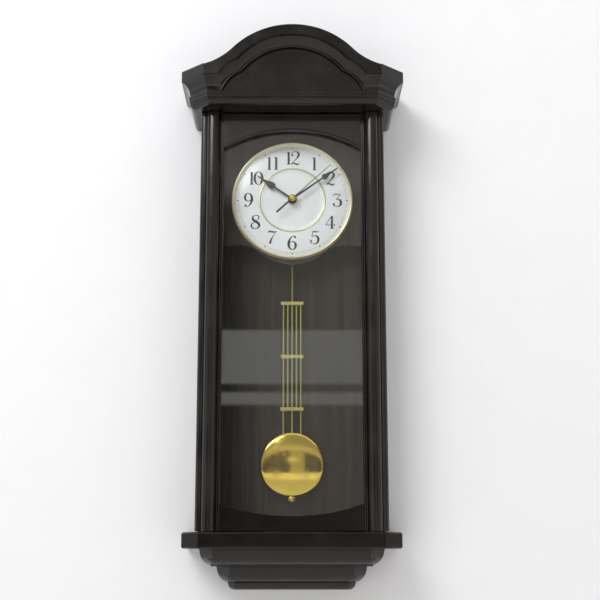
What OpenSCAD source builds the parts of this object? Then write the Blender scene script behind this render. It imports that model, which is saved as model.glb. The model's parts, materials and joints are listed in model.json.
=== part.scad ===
// Wall clock with a pendulum: a dark wood case with a glazed, reeded door,
// an arched pediment, a stepped base, a quartz movement and a brass pendulum.
// Millimetres. X is to the viewer's right, -Y is towards the viewer, +Z is up.
// The wall plane is Y = 0 and the origin is the keyhole that hangs on the wall screw.
// Inside the modules, heights count from the underside of the foot.

/* [Case] */
// How far the wall screw lies below the underside of the crown
hook_drop = 21.5; // [15.5:0.5:36.5]
// Width over the door and its columns
body_w = 227; // [222:1:234]
// Depth of the case, from the wall to the back of the door gap
case_d = 52.6; // [50:0.2:56]
// Thickness of a side panel
side_t = 12; // [8:0.5:14]
// How far a side panel stands in from the edge of the door
side_inset = 1.5; // [0.5:0.5:4]
// Thickness of the back panel
back_t = 4; // [3:0.5:6]
// How far the back panel sits in from the wall plane
back_recess = 6; // [4:0.5:8]
// Height of the hanging rail across the top of the back
rail_h = 40; // [36:1:46]
// Depth of the hanging rail
rail_d = 16; // [12:0.5:18]

/* [Door] */
// Air between the slab and the door
air_low = 1; // [0.5:0.5:4]
// Air between the door and the crown
air_high = 0.9; // [0.5:0.2:6.5]
// Width of a door column
stile_w = 28.5; // [26:0.5:31]
// Gap between the case and the closed door
door_gap = 0.4; // [0.3:0.1:1]
// Thickness of the flat rails
rail_t = 14; // [13:0.5:16]
// Radius of the big half-round on a column
reed_r = 8.7; // [7:0.1:9]
// Radius of the two thin reeds beside the glass
bead_r = 1.15; // [0.8:0.05:1.2]
// Width of the top rail at the crown of its arch
head_mid = 22; // [18.6:0.2:30.6]
// Width of the top rail at the columns
head_side = 45.6; // [40.6:0.5:52.6]
// Width of the bottom rail at its lowest point
foot_mid = 17.6; // [15:0.2:23]
// Width of the bottom rail at the columns
foot_side = 32; // [28:0.5:37]
// Thickness of the glass
glass_t = 2; // [1.8:0.1:3]
// Thickness of the lip in front of the glass
lip_t = 7; // [5:0.5:8]
// How far the glass runs in behind the frame
rebate = 6; // [4:0.5:8]
// Radius of a hinge pin
pin_r = 1.5; // [1.2:0.1:2]
// How far a hinge pin reaches into the case
pin_reach = 6; // [4:0.5:7]
// How far a hinge pin is driven into the column
pin_depth = 12; // [8:1:20]

/* [Crown] */
// Width over the crown
crown_w = 276; // [268:1:284]
// Depth of the crown from the wall
crown_d = 112; // [110:1:116]
// Leg of the cut corner of the crown, seen from above
crown_cant = 29; // [26:1:32]
// Height of the underside of the crown above the clock's centre
crown_rise = 105.5; // [105.5:0.1:106.5]
// Height of the crown's corners
crown_h = 47.5; // [44.5:0.5:50.5]
// Height of the flat band around the crown
fascia_h = 13; // [10:0.5:15]
// Depth of the hollow moulding
cove_in = 11; // [9:0.5:13]
// Height of the hollow moulding
cove_h = 18.5; // [16:0.5:19]
// Radius of the round moulding at the bottom of the crown
torus_r = 7; // [6:0.25:7.5]
// Rise of the pediment's peak over the crown's corners
peak_rise = 51.6; // [41:0.2:61]
// Radius of the pediment's arch
arch_r = 103; // [98:1:110]
// Half-width at which the arch turns into the sweep
turn_x = 74; // [70:1:78]
// Radius of the sweep down to the corners
sweep_r = 78.5; // [74:0.5:84]
// Width of the flat band that follows the arch
band_w = 12.5; // [11:0.5:14]
// Width of the hollow moulding that follows the arch
hollow_w = 13.5; // [12:0.5:14.5]
// Thickness of the pediment board
pediment_t = 20; // [18:1:24]

/* [Base] */
// Width of the base slab
slab_w = 256; // [250:1:264]
// Depth of the base slab from the wall
slab_d = 95; // [92:1:99]
// Leg of the slab's cut corner
slab_cant = 20.5; // [17:0.5:24]
// Thickness of the slab
slab_t = 19; // [18:0.5:19]
// Width of the upper tier at its top
tier_w = 217; // [210:1:222]
// Width of the lower tier at its top
tier2_w = 178; // [172:1:182]
// Leg of a tier's cut corner
tier_cant = 16; // [13:0.5:18]
// Radius of the quarter-round under each tier
tier_r = 18; // [17.4:0.1:19]
// Height of the curved part of a tier
tier_drop = 16.6; // [15:0.1:16.8]
// Height of the foot
foot_h = 8.7; // [8.2:0.5:9.7]
// Height of the foot's rounded edge
foot_t = 7; // [6:0.5:8]

/* [Dial] */
// Height of the clock's centre
axis_h = 476; // [472:0.5:480]
// Diameter over the bezel
dial_d = 150; // [144:1:154]
// Width of the bezel ring
bezel_w = 4; // [3:0.25:6]
// Height of the bezel ring above the board
bezel_t = 4.5; // [3:0.25:5]
// Thickness of the dial
dial_t = 1.5; // [1:0.1:2]
// Radius of the raised ring on the dial
ring_r = 41.5; // [38:0.5:44]
// Thickness of the dial board
board_t = 4; // [3:0.5:5]
// How far the board's front face lies behind the front edge of the case
board_in = 14.6; // [14.2:0.2:15.6]
// How far the board's lower edge hangs below the bezel, at its middle
belly_under = 7.9; // [3:0.5:13]
// How much higher that edge is at the sides
belly_drop = 24.7; // [19:0.5:29]
// Length of the minute hand
minute_len = 69; // [62:0.5:69]
// Length of the hour hand
hour_len = 53; // [46:0.5:56]
// Length of the second hand
second_len = 65; // [58:0.5:68]
// Length of the second hand's tail
second_tail = 27; // [20:0.5:32]
// Radius of the ball cap on the hands
cap_r = 4.8; // [4:0.1:5.5]

/* [Movement] */
// Width of the movement
move_w = 56; // [55:0.5:60]
// Height of the movement above the clock's centre
move_up = 28; // [26:0.5:32]
// Height of the movement below the clock's centre
move_down = 50; // [48:0.5:54]
// Wall thickness of the movement's mouldings
shell_t = 1.4; // [1.2:0.1:1.6]
// Depth of the movement behind the board
move_d = 17.4; // [17.2:0.1:18]
// Running clearance of a small pivot, on the radius
play = 0.08; // [0.03:0.01:0.1]
// Module of the train's teeth
tooth_m = 0.3; // [0.28:0.01:0.31]
// Thickness of a gear
gear_t = 1; // [0.8:0.05:1.05]

/* [Pendulum] */
// How far the pendulum's pivot lies below the clock's centre
pivot_drop = 37; // [35:0.5:39]
// How far the pendulum hangs behind the board
swing_in = 12; // [11.5:0.1:12.5]
// Height of the bob's centre above the slab
bob_rise = 82; // [76:0.5:90]
// Diameter of the bob
bob_d = 77; // [70:0.5:82]
// Thickness of the bob at its middle
bob_t = 11; // [8:0.5:14]
// Diameter of a pendulum rod
rod_d = 2; // [1.6:0.1:2.6]
// Spacing of the five rods
rod_pitch = 5.4; // [4.6:0.1:5.8]
// Width of a crossbar
bar_w = 28.5; // [27:0.5:32]
// Height of a crossbar
bar_h = 4.3; // [3.4:0.1:5]
// Thickness of a crossbar
bar_t = 4; // [3.2:0.1:5]

/* [Hidden] */
$fn = 96;
far = 1000;   // reach of a cutting block
eps = 0.01;   // overlap that makes a cut or a union clean

// Colours of the finishes
walnut = "#2b2220";
board_brown = "#4a3f3a";
brass = "#b8a04c";
steel = "#b9bcc0";
black = "#1a1a1c";
ivory = "#eef0f2";

// Heights, from the foot up to the peak
edge_h = 1.7;                             // square edge at the top of a tier
step_h = 1.7;                             // thin plate under the upper tier
tier_h = tier_drop + edge_h;
tier2_z = foot_h;                         // underside of the lower tier
tier_z = tier2_z + tier_h + step_h;
slab_z = tier_z + tier_h;
slab_top = slab_z + slab_t;
crown_z = axis_h + crown_rise;
fascia_top = crown_z + crown_h;
peak_h = fascia_top + peak_rise;
hook_h = crown_z - hook_drop;
door_z = slab_top + air_low;
door_top = crown_z - air_high;
arch_top = door_top - head_mid;
arch_side = door_top - head_side;
sill_mid = door_z + foot_mid;
sill_side = door_z + foot_side;
board_mid = axis_h - dial_d/2 - belly_under;
board_side = board_mid + belly_drop;
pivot_h = axis_h - pivot_drop;
bob_h = slab_top + bob_rise;

// Derived sizes of the case
side_x = body_w/2 - side_inset;           // outer face of a side panel
inner_x = side_x - side_t;                // inner face of a side panel
back_y = back_recess + back_t;            // front face of the back panel
door_back = case_d + door_gap;            // back face of the door
door_face = door_back + rail_t;           // front face of the rails
open_x = body_w/2 - stile_w;              // half-width of the door's opening
glass_front = door_face - lip_t;
glass_back = glass_front - glass_t;
glass_x = open_x + rebate;                // half-width of the pane
glass_z = sill_mid - rebate;              // foot of the pane
glass_top = arch_top + rebate;            // head of the pane
fit_gap = 0.3;                            // air around the pane
hinge_r = 4.5;                            // rounding of the column around the pins
hinge_x = body_w/2 - hinge_r;
hinge_y = door_back + hinge_r;
soffit_t = 8.5;
soffit_in = cove_in + torus_r;            // inset of the soffit from the fascia
opening_w = 64;                           // access opening in the back panel
opening_h = 88;
opening_drop = 54;                        // its foot, below the clock's centre
opening_z = axis_h - opening_drop;

// Derived sizes of the crown and the base
crown_x = crown_w/2;
fold_x = crown_x - crown_cant;            // where the front turns the corner
fascia_z = fascia_top - fascia_h;
cove_z = fascia_z - cove_h;
cove_r = (cove_in*cove_in + cove_h*cove_h)/(2*cove_in);
cornice_t = 20;                           // depth of the cornice mouldings
miter = tan(22.5);                        // shift of a fold for each millimetre of inset
arch_z = peak_h - arch_r;                 // centre of the pediment's arch
turn_a = asin(turn_x/arch_r);
sweep_x = turn_x + sweep_r*sin(turn_a);
sweep_z = arch_z + arch_r*cos(turn_a) + sweep_r*cos(turn_a);
shoulder_x = 42;                          // centre of the shoulder's curve
shoulder_drop = 99.6;                     // below the peak
shoulder_z = peak_h - shoulder_drop;
shoulder_r = 61.3;
band_drop = 1;                            // step at the edge of the flat band
panel_in = 14;                            // how far the panel sits in from the face

// Derived sizes of the dial and the movement
board_y = case_d - board_in;              // front face of the dial board
board_back = board_y - board_t;
swing_y = board_back - swing_in;          // plane of the pendulum
dial_face = board_y + dial_t;
bush_r = 4;
move_back = board_back - move_d;          // rear face of the movement
cover_in = move_back + shell_t;           // inner face of the rear cover
plate_in = board_back - shell_t;          // inner face of the front plate
layer = 1.4;                              // pitch of the gear layers
y_hour = plate_in - 0.4;                  // front faces of the gear layers
y_motion = y_hour - layer;
y_centre = y_motion - layer;
y_plate = y_centre - layer + 0.2;
y_third = y_plate - layer;
y_second = y_third - layer - 0.2;
y_inter = y_second - layer;
y_rotor = y_inter - layer;
arbor_r = 0.5;
seconds_r = 0.7;                          // second arbor
minute_bore = seconds_r + play;
minute_r = 1.5;
hour_bore = minute_r + play;
hour_r = 2.4;
bush_bore = hour_r + play;
y_bush = dial_face + 3.5;                 // front end of the bush
y_hour_hand = y_bush + 1.6;               // front faces of the hands
y_minute_hand = y_hour_hand + 2.4;
y_cap = y_minute_hand + 0.8;              // back of the ball cap
hand_t = 0.4;
hour_angle = 304.6;                       // hands as set, clockwise from twelve
minute_angle = 54.8;
second_angle = 47.5;

// Teeth, centre distances and places of the arbors, from the clock's centre
n_pinion = 8;
n_third = 60;
n_centre = 64;
n_second = 48;
n_inter = 40;
n_cannon = 12;
n_motion = 36;
n_motion_pinion = 10;
n_hour = 40;
d_third = tooth_m*(n_pinion + n_third)/2;
m_centre = 2*d_third/(n_pinion + n_centre);
d_inter = tooth_m*(n_pinion + n_second)/2;
d_rotor = tooth_m*(n_pinion + n_inter)/2;
m_motion = tooth_m*4/3;
d_motion = m_motion*(n_cannon + n_motion)/2;
m_hour = 2*d_motion/(n_motion_pinion + n_hour);
a_third = 90;
a_inter = -30;
a_motion = 210;
p_third = [d_third*cos(a_third), d_third*sin(a_third)];
p_inter = [d_inter*cos(a_inter), d_inter*sin(a_inter)];
p_rotor = [(d_inter + d_rotor)*cos(a_inter), (d_inter + d_rotor)*sin(a_inter)];
p_motion = [d_motion*cos(a_motion), d_motion*sin(a_motion)];
p_setting = 2*p_motion;
posts = [[17, 9], [-13, 17], [17, -11.5]];
battery_z = -24;                          // battery's axis, from the clock's centre
battery_r = 7.2;
contact_room = 3.1;                       // wall and contact at each end of the battery
battery_half = move_w/2 - contact_room;
floor_gear = -14.6;                       // wall under the gear compartment
low_room = [axis_h - move_down + shell_t, axis_h + battery_z - battery_r - 0.4 - shell_t];
swing_half = 12;                          // half-width of the pendulum's compartment
slot_half = 7;                            // half-width of its slot in the floor

// Pendulum
arm_l = 23;
arm_end = pivot_h - arm_l;
lead = 69;                                // from the arm down to the first crossbar
last_up = 28.4;                           // from the bob up to the last crossbar
off_middle = 1.15;                        // the second crossbar hangs this far under halfway
bar_zs = [arm_end - lead,
          (arm_end - lead + bob_h + bob_d/2 + last_up)/2 - off_middle,
          bob_h + bob_d/2 + last_up];
dome_steps = 16;

// Moves a piece from heights above the foot to the row frame
module hung() {
    translate([0, 0, -hook_h]) children();
}

// A flat drawn in X and Z, from depth y_back out to depth y_front
module slice(y_front, y_back) {
    translate([0, -y_back, 0]) rotate([90, 0, 0]) linear_extrude(height = y_front - y_back) children();
}

// A block from one corner to the other, with depths in place of Y
module block(x, d, z) {
    translate([x[0], -d[1], z[0]]) cube([x[1] - x[0], d[1] - d[0], z[1] - z[0]]);
}

// A round bar along Y, at [x, z], between two depths
module bar_y(p, r, y_front, y_back) {
    translate([p[0], -y_back, p[1]]) rotate([90, 0, 0]) cylinder(r = r, h = y_front - y_back);
}

// Repeats a piece on both sides of the clock
module both_sides() {
    children();
    mirror([1, 0, 0]) children();
}

// A moulding profile, drawn as outward distance and height, laid along a straight run
module run(mid, angle, length) {
    translate([mid[0], mid[1], 0]) rotate([0, 0, angle]) rotate([90, 0, 0])
        linear_extrude(height = length, center = true) children();
}

// A solid storey with cut corners: the profile runs along the front, corners and sides
module storey(half, depth, cant) {
    reach = 4*half;
    intersection() {
        run([0, -depth], -90, reach) children();
        run([half - cant/2, cant/2 - depth], -45, reach) children();
        mirror([1, 0, 0]) run([half - cant/2, cant/2 - depth], -45, reach) children();
        run([half, 0], 0, reach) children();
        mirror([1, 0, 0]) run([half, 0], 0, reach) children();
        translate([-far/2, -far, 0]) cube([far, far, far]);
    }
}

// Plan of one cornice piece between its mitres, t deep
function corner_plan(t) = [
    [fold_x, -crown_d], [crown_x, crown_cant - crown_d],
    [crown_x - t, crown_cant - crown_d + miter*t], [fold_x - miter*t, t - crown_d]
];
function front_plan(t) = [
    [-fold_x, -crown_d], [fold_x, -crown_d],
    [fold_x - miter*t, t - crown_d], [miter*t - fold_x, t - crown_d]
];
function side_plan(t) = [
    [crown_x, crown_cant - crown_d], [crown_x, 0],
    [crown_x - t, 0], [crown_x - t, crown_cant - crown_d + miter*t]
];

module upright(plan) {
    linear_extrude(height = far) polygon(plan);
}

// Case

module back_panel() {
    color(walnut) hung() difference() {
        block([-inner_x, inner_x], [back_recess, back_y], [slab_top, crown_z - rail_h]);
        block([-opening_w/2, opening_w/2], [back_recess - 1, back_y + 1],
              [opening_z, opening_z + opening_h]);
    }
}

// The outer front edge is rounded, so that the open door clears it
module side_panel() {
    round_r = 4;
    color(walnut) hung() translate([0, 0, slab_top]) linear_extrude(height = crown_z - slab_top) {
        translate([inner_x, -case_d]) square([side_t - round_r, case_d]);
        translate([inner_x, round_r - case_d]) square([side_t, case_d - round_r]);
        translate([side_x - round_r, round_r - case_d]) circle(r = round_r);
    }
}

module side_panel_right() { side_panel(); }

module side_panel_left() {
    mirror([1, 0, 0]) side_panel();
}

plate_t = 1.5;       // keyhole plate
plate_w = 26;
plate_low = 14;      // below the screw's way in
plate_high = 20;     // above it
key_r = 4.5;
slot_r = 2.2;
slot_rise = 10;
head_room = 7;       // pocket for the screw's head
screw_z = [-10, 16.5];

module hanging_rail() {
    color(walnut) hung() difference() {
        block([-inner_x, inner_x], [0, rail_d], [crown_z - rail_h, crown_z]);
        block([-plate_w/2, plate_w/2], [-1, plate_t], [hook_h - plate_low, hook_h + plate_high]);
        head_pocket();
        for (z = screw_z) bar_y([0, hook_h + z], 1.2, plate_t + 8, -1);
    }
}

// Round-ended slot that widens the way for the screw's head behind the plate
module head_pocket() {
    bar_y([0, hook_h], key_r + 0.5, plate_t + head_room, -1);
    bar_y([0, hook_h + slot_rise], key_r + 0.5, plate_t + head_room, -1);
    block([-key_r - 0.5, key_r + 0.5], [-1, plate_t + head_room], [hook_h, hook_h + slot_rise]);
}

module hanger_plate() {
    color(steel) difference() {
        block([-plate_w/2, plate_w/2], [0, plate_t], [-plate_low, plate_high]);
        bar_y([0, 0], key_r, plate_t + 1, -1);
        bar_y([0, slot_rise], slot_r, plate_t + 1, -1);
        block([-slot_r, slot_r], [-1, plate_t + 1], [0, slot_rise]);
        for (z = screw_z) bar_y([0, z], 1.2, plate_t + 1, -1);
    }
}

module hanger_screws() {
    color(steel) difference() {
        for (z = screw_z) bar_y([0, z], 1.2, plate_t + 8, 0);
        for (z = screw_z) block([-2, 2], [-1, 0.4], [z - 0.3, z + 0.3]);
    }
}

// Lower edge of the dial board: flat at the sides, a round belly in the middle
belly_x = 64;
belly_sweep = 34;     // radius of the hollow ends
belly_r = (pow(belly_x, 2) + pow(belly_drop, 2))/(2*belly_drop) - belly_sweep;

module board_outline() {
    difference() {
        translate([-inner_x, board_mid]) square([2*inner_x, crown_z - board_mid]);
        difference() {
            translate([-inner_x - 1, board_mid - 1]) square([2*inner_x + 2, belly_drop + 1]);
            translate([0, board_mid + belly_r]) circle(r = belly_r);
            polygon([
                [0, board_side + 1], [belly_x, board_side + 1], [belly_x, board_side],
                [belly_r*sin(belly_turn), board_mid + belly_r*(1 - cos(belly_turn))], [0, board_mid + 1]
            ]);
            polygon([
                [0, board_side + 1], [-belly_x, board_side + 1], [-belly_x, board_side],
                [-belly_r*sin(belly_turn), board_mid + belly_r*(1 - cos(belly_turn))], [0, board_mid + 1]
            ]);
        }
        for (s = [-1, 1]) translate([s*belly_x, board_side - belly_sweep]) circle(r = belly_sweep);
    }
}
belly_turn = asin(belly_x/(belly_r + belly_sweep));

module dial_board() {
    color(board_brown) hung() difference() {
        slice(board_y, board_back) board_outline();
        bar_y([0, axis_h], bush_r + 0.05, board_y + 1, board_back - 1);
        both_sides() for (z = cleat_screws)
            bar_y([inner_x - cleat_w/2, z], screw_r, board_y + 1, board_back - 1);
    }
}

cleat_w = 8;
cleat_d = 12;
cleat_low = 40;        // lower screw, below the clock's centre
cleat_high = 60;       // upper screw, above it
cleat_screws = [axis_h - cleat_low, axis_h + cleat_high];
screw_run = 9;         // how far a board screw goes into its cleat
screw_r = 1.5;
screw_head = 2.8;

module board_cleats() {
    color(walnut) hung() both_sides() difference() {
        block([inner_x - cleat_w, inner_x], [board_back - cleat_d, board_back],
              [board_side + 4, crown_z - rail_h]);
        for (z = cleat_screws)
            bar_y([inner_x - cleat_w/2, z], screw_r, board_back + 1, board_back - screw_run);
    }
}

module board_screws() {
    color(brass) hung() both_sides() for (z = cleat_screws) {
        bar_y([inner_x - cleat_w/2, z], screw_r, board_y, board_back - screw_run);
        bar_y([inner_x - cleat_w/2, z], screw_head, board_y + 1.2, board_y);
    }
}

// Crown

// Profile of the cornice, outward from the fascia's face, from its back to its front
module cornice_profile(back) {
    translate([-back, fascia_z]) square([back, fascia_h]);
    difference() {
        translate([-back, cove_z]) square([back - band_drop/2, cove_h + eps]);
        translate([cove_r - cove_in, cove_z]) circle(r = cove_r);
    }
    lower_profile(back);
}

// Bead and round moulding under the hollow
module lower_profile(back) {
    torus_top = crown_z + 2*torus_r;
    translate([-back, torus_top - eps]) square([back - cove_in + 0.8, cove_z - torus_top + eps]);
    translate([-back, crown_z]) square([back - soffit_in, 2*torus_r]);
    translate([-soffit_in, crown_z + torus_r]) circle(r = torus_r);
}

module cornice_front() {
    color(walnut) hung() intersection() {
        run([0, -crown_d], -90, crown_w) lower_profile(soffit_in + 2);
        upright(front_plan(soffit_in + 2));
    }
}

module cornice_corners() {
    color(walnut) hung() both_sides() intersection() {
        run([crown_x - crown_cant/2, crown_cant/2 - crown_d], -45, 3*crown_cant)
            cornice_profile(soffit_in + 2);
        upright(corner_plan(soffit_in + 2));
    }
}

module cornice_sides() {
    color(walnut) hung() difference() {
        both_sides() intersection() {
            run([crown_x, -crown_d/2], 0, 2*crown_d) cornice_profile(soffit_in + 2);
            upright(side_plan(soffit_in + 2));
        }
        upper_pin_bore();
    }
}

// Way for the door's upper pin, in whatever part of the crown stands over the hinge
module upper_pin_bore() {
    translate([hinge_x, -hinge_y, crown_z - 1])
        cylinder(r = pin_r + play/2, h = pin_reach + 1.5);
}

// Board that closes the crown's underside, over the case and inside the mouldings
module crown_plan(t) {
    polygon([
        [miter*t - fold_x, t - crown_d], [fold_x - miter*t, t - crown_d],
        [crown_x - t, crown_cant - crown_d + miter*t], [crown_x - t, 0],
        [t - crown_x, 0], [t - crown_x, crown_cant - crown_d + miter*t]
    ]);
}

module crown_soffit() {
    color(walnut) hung() difference() {
        translate([0, 0, crown_z]) linear_extrude(height = soffit_t) crown_plan(soffit_in + 2);
        upper_pin_bore();
    }
}

lid_t = 8;
lid_drop = 2;                     // top of the lid, below the crown's corners

module crown_lid() {
    color(walnut) hung()
        translate([0, 0, fascia_top - lid_drop - lid_t]) linear_extrude(height = lid_t) intersection() {
            crown_plan(soffit_in + 2);
            translate([-far/2, pediment_t - crown_d]) square([far, far]);
        }
}

hollow_drop = cove_h/hollow_w;    // the hollow is taller along the bottom than along the arch

// Points along an arc in X and Z, in steps of equal angle
function arc_pts(cx, cz, r, a0, a1, n) = [
    for (i = [0:n]) let (a = a0 + (a1 - a0)*i/n) [cx + r*cos(a), cz + r*sin(a)]
];

// A half outline from the right-hand side to the middle, then on to its mirror image
function both(pts) = concat(pts, [for (i = [len(pts) - 2:-1:0]) [-pts[i][0], pts[i][1]]]);
function backwards(pts) = [for (i = [len(pts) - 1:-1:0]) pts[i]];

// Where a circle of radius r1 about the arch's centre meets one of radius r2 about the shoulder's
function meet(r1, r2) = let (
    dx = shoulder_x, dz = shoulder_z - arch_z, d = sqrt(dx*dx + dz*dz),
    k = (r1*r1 - r2*r2 + d*d)/(2*d), h = sqrt(r1*r1 - k*k)
) [(k*dx - h*dz)/d, arch_z + (k*dz + h*dx)/d];

// Lower edge of the flat band, or that edge moved inwards, from the fold to the middle:
// a level stretch, the shoulder's arc up to a cusp, and the main arch
function edge_pts(inset) = let (
    r1 = arch_r - band_w - inset, r2 = shoulder_r - inset, p = meet(r1, r2),
    low = fascia_z - inset*hollow_drop,
    a_low = asin((low - shoulder_z)/r2),
    a_cusp = atan2(p[1] - shoulder_z, p[0] - shoulder_x),
    a_arch = atan2(p[1] - arch_z, p[0])
) concat(
    [[fold_x, low]],
    arc_pts(shoulder_x, shoulder_z, r2, a_low, a_cusp, shoulder_steps),
    [for (q = arc_pts(0, arch_z, r1, a_arch, 90, arch_steps)) if (q[0] < p[0] - eps) q]
);

// Top edge of the pediment, from the fold up the sweep and over the arch
function top_pts() = concat(
    arc_pts(sweep_x, sweep_z, sweep_r, 360 - acos((fold_x - sweep_x)/sweep_r), 270 - turn_a, sweep_steps),
    [for (q = arc_pts(0, arch_z, arch_r, 90 - turn_a, 90, arch_steps)) if (q[0] < turn_x - eps) q]
);

module pediment_face() {
    color(walnut) hung() intersection() {
        slice(crown_d, crown_d - pediment_t)
            polygon(concat(both(edge_pts(0)), backwards(both(top_pts()))));
        upright(front_plan(pediment_t));
    }
}

shoulder_steps = 14;
arch_steps = 22;
sweep_steps = 14;
cove_n = 8;                       // steps across the hollow

// Section of the hollow: share of its width and depth behind the face
cove_a = asin(cove_h/cove_r);
function cove_u(i) = 1 - sin(cove_a*(1 - i/cove_n))/sin(cove_a);
function cove_depth(i) = band_drop + (cove_in - band_drop)*
    (1 - (1 - cos(cove_a*(1 - i/cove_n)))/(1 - cos(cove_a)));

// The hollow that follows the band, as one swept strip with a flat back
module pediment_moulding() {
    outer = edge_pts(0);
    inner = edge_pts(hollow_w);
    n = len(outer);
    back = crown_d - pediment_t;
    ring_n = cove_n + 4;
    // Points of one half; the other half mirrors them
    function fold_shift(k, d) = k == 0 ? -miter*d : 0;
    function ring(k) = concat(
        [for (i = [0:cove_n]) let (u = cove_u(i), d = cove_depth(i), p = outer[k]*(1 - u) + inner[k]*u)
            [p[0] + fold_shift(k, d), d - crown_d, p[1]]],
        [[inner[k][0] + fold_shift(k, cove_in + 1), cove_in - crown_d + 1, inner[k][1]],
         [inner[k][0] + fold_shift(k, pediment_t), -back, inner[k][1]],
         [outer[k][0] + fold_shift(k, pediment_t), -back, outer[k][1]]]
    );
    right = [for (k = [0:n - 1]) ring(k)];
    left = [for (k = [n - 2:-1:0]) [for (p = right[k]) [-p[0], p[1], p[2]]]];
    rings = concat(right, left);
    m = len(rings);
    points = [for (r = rings) for (p = r) p];
    sides = [for (k = [0:m - 2]) for (i = [0:ring_n - 1]) let (
        a = k*ring_n + i, b = k*ring_n + (i + 1) % ring_n
    ) each [[a, b, a + ring_n], [b, b + ring_n, a + ring_n]]];
    cap_a = [for (i = [ring_n - 1:-1:0]) i];
    cap_b = [for (i = [0:ring_n - 1]) (m - 1)*ring_n + i];
    color(walnut) hung() polyhedron(points = points, faces = concat([cap_a], sides, [cap_b]), convexity = 8);
}

module pediment_panel() {
    color(walnut) hung() slice(crown_d - panel_in, crown_d - pediment_t)
        polygon([for (p = both(edge_pts(hollow_w))) if (abs(p[0]) < fold_x - eps) p]);
}

// Base

slab_round = 3;
inward = far/2;                 // how far a profile runs in, past the middle of its storey

module slab_profile() {
    for (z = [slab_z + slab_round, slab_top - slab_round])
        translate([-slab_round, z]) circle(r = slab_round);
    translate([-inward, slab_z]) square([inward - slab_round, slab_t]);
    translate([-inward, slab_z + slab_round]) square([inward, slab_t - 2*slab_round]);
}

// Plan of a layer with cut corners
function layer_plan(half, depth, cant) = [
    [-half, 0], [-half, cant - depth], [cant - half, -depth],
    [half - cant, -depth], [half, cant - depth], [half, 0]
];

// A square-edged layer from height z up to height top
module layer_plate(half, depth, cant, z, top) {
    translate([0, 0, z]) linear_extrude(height = top - z) polygon(layer_plan(half, depth, cant));
}

// A quarter-round of radius r under such a layer: it turns in below height top, down to height z
module under_round(half, depth, cant, r, z, top) {
    storey(half, depth, cant) {
        intersection() {
            translate([-r - quirk, top + quirk]) circle(r = r);
            translate([-r - quirk, z]) square([r + quirk, top + quirk - z]);
        }
        translate([-inward, z]) square([inward - r - quirk, top + quirk - z]);
    }
}

quirk = 0.5;                    // small ledge where a quarter-round starts
step_in = 13.3;                 // how far the next layer stands in from a tier
tier_d = slab_d - (slab_w - tier_w)/2;
tier2_d = slab_d - (slab_w - tier2_w)/2;
step_cant = tier_cant - (1 - miter)*step_in;
foot_round = foot_t + 1;        // radius of the foot's lower edge

module base_slab() {
    color(walnut) hung() difference() {
        storey(slab_w/2, slab_d, slab_cant) slab_profile();
        translate([hinge_x, -hinge_y, slab_top - pin_reach - 0.5])
            cylinder(r = pin_r + play/2, h = pin_reach + 1.5);
    }
}

module base_tier_upper() {
    color(walnut) hung() {
        layer_plate(tier_w/2, tier_d, tier_cant, tier_z + tier_drop, slab_z);
        under_round(tier_w/2, tier_d, tier_cant, tier_r, tier_z, tier_z + tier_drop);
        layer_plate(tier_w/2 - step_in, tier_d - step_in, step_cant, tier_z - step_h, tier_z + 1);
    }
}

module base_tier_lower() {
    color(walnut) hung() {
        layer_plate(tier2_w/2, tier2_d, tier_cant, tier2_z + tier_drop, tier_z - step_h);
        under_round(tier2_w/2, tier2_d, tier_cant, tier_r, tier2_z, tier2_z + tier_drop);
    }
}

module base_foot() {
    color(walnut) hung() {
        layer_plate(tier2_w/2 - step_in, tier2_d - step_in, step_cant, foot_t, tier2_z);
        under_round(tier2_w/2 - step_in, tier2_d - step_in, step_cant, foot_round, 0, foot_t);
    }
}

// Door

// Plan of a column, from the edge of the glazed opening outwards and from the back forwards
module stile_plan() {
    base_d = rail_t - 0.5;
    band = stile_w - 4*bead_r - 2*reed_r;     // plain band outside the big half-round
    difference() {
        union() {
            square([stile_w, base_d]);
            for (x = [bead_r, 3*bead_r]) translate([x, base_d]) circle(r = bead_r, $fn = 32);
            translate([4*bead_r + reed_r, base_d]) circle(r = reed_r);
            translate([stile_w - band, 0]) square([band - 4, base_d + 2.5]);
            translate([stile_w - 4, 0]) square([4, base_d - 1.5]);
            translate([stile_w - 4, base_d - 1.5]) circle(r = 4);
        }
        // rounding around the hinge pins
        translate([stile_w - hinge_r, -1]) square([hinge_r + 1, hinge_r + 1]);
    }
    translate([stile_w - hinge_r, hinge_r]) circle(r = hinge_r);
}

module stile() {
    difference() {
        translate([open_x, -door_back, door_z]) mirror([0, 1, 0])
            linear_extrude(height = door_top - door_z) stile_plan();
        block([open_x - 1, glass_x + fit_gap], [door_back - 1, glass_front],
              [glass_z - fit_gap, glass_top + fit_gap]);
    }
}

module door_stile_right() {
    color(walnut) hung() difference() {
        stile();
        translate([hinge_x, -hinge_y, door_top - pin_depth]) cylinder(r = pin_r, h = pin_depth + 1);
        translate([hinge_x, -hinge_y, door_z - 1]) cylinder(r = pin_r, h = pin_depth + 1);
    }
}

module door_stile_left() {
    color(walnut) hung() difference() {
        mirror([1, 0, 0]) stile();
        bar_y([-catch_x, catch_z], catch_r, door_back + catch_t, door_back - 1);
    }
}

// Circle through the middle and the two sides of an arched edge
function arch_radius(rise) = (open_x*open_x + rise*rise)/(2*rise);

module door_top_rail() {
    rise = arch_top - arch_side;
    r = arch_radius(rise);
    color(walnut) hung() {
        slice(door_face, glass_front) difference() {
            translate([-open_x, arch_side - 1]) square([2*open_x, door_top - arch_side + 1]);
            translate([0, arch_top - r]) circle(r = r, $fn = 180);
        }
        // back of the rail, above the pane
        block([-open_x, open_x], [door_back, glass_front], [glass_top + fit_gap, door_top]);
    }
}

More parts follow.
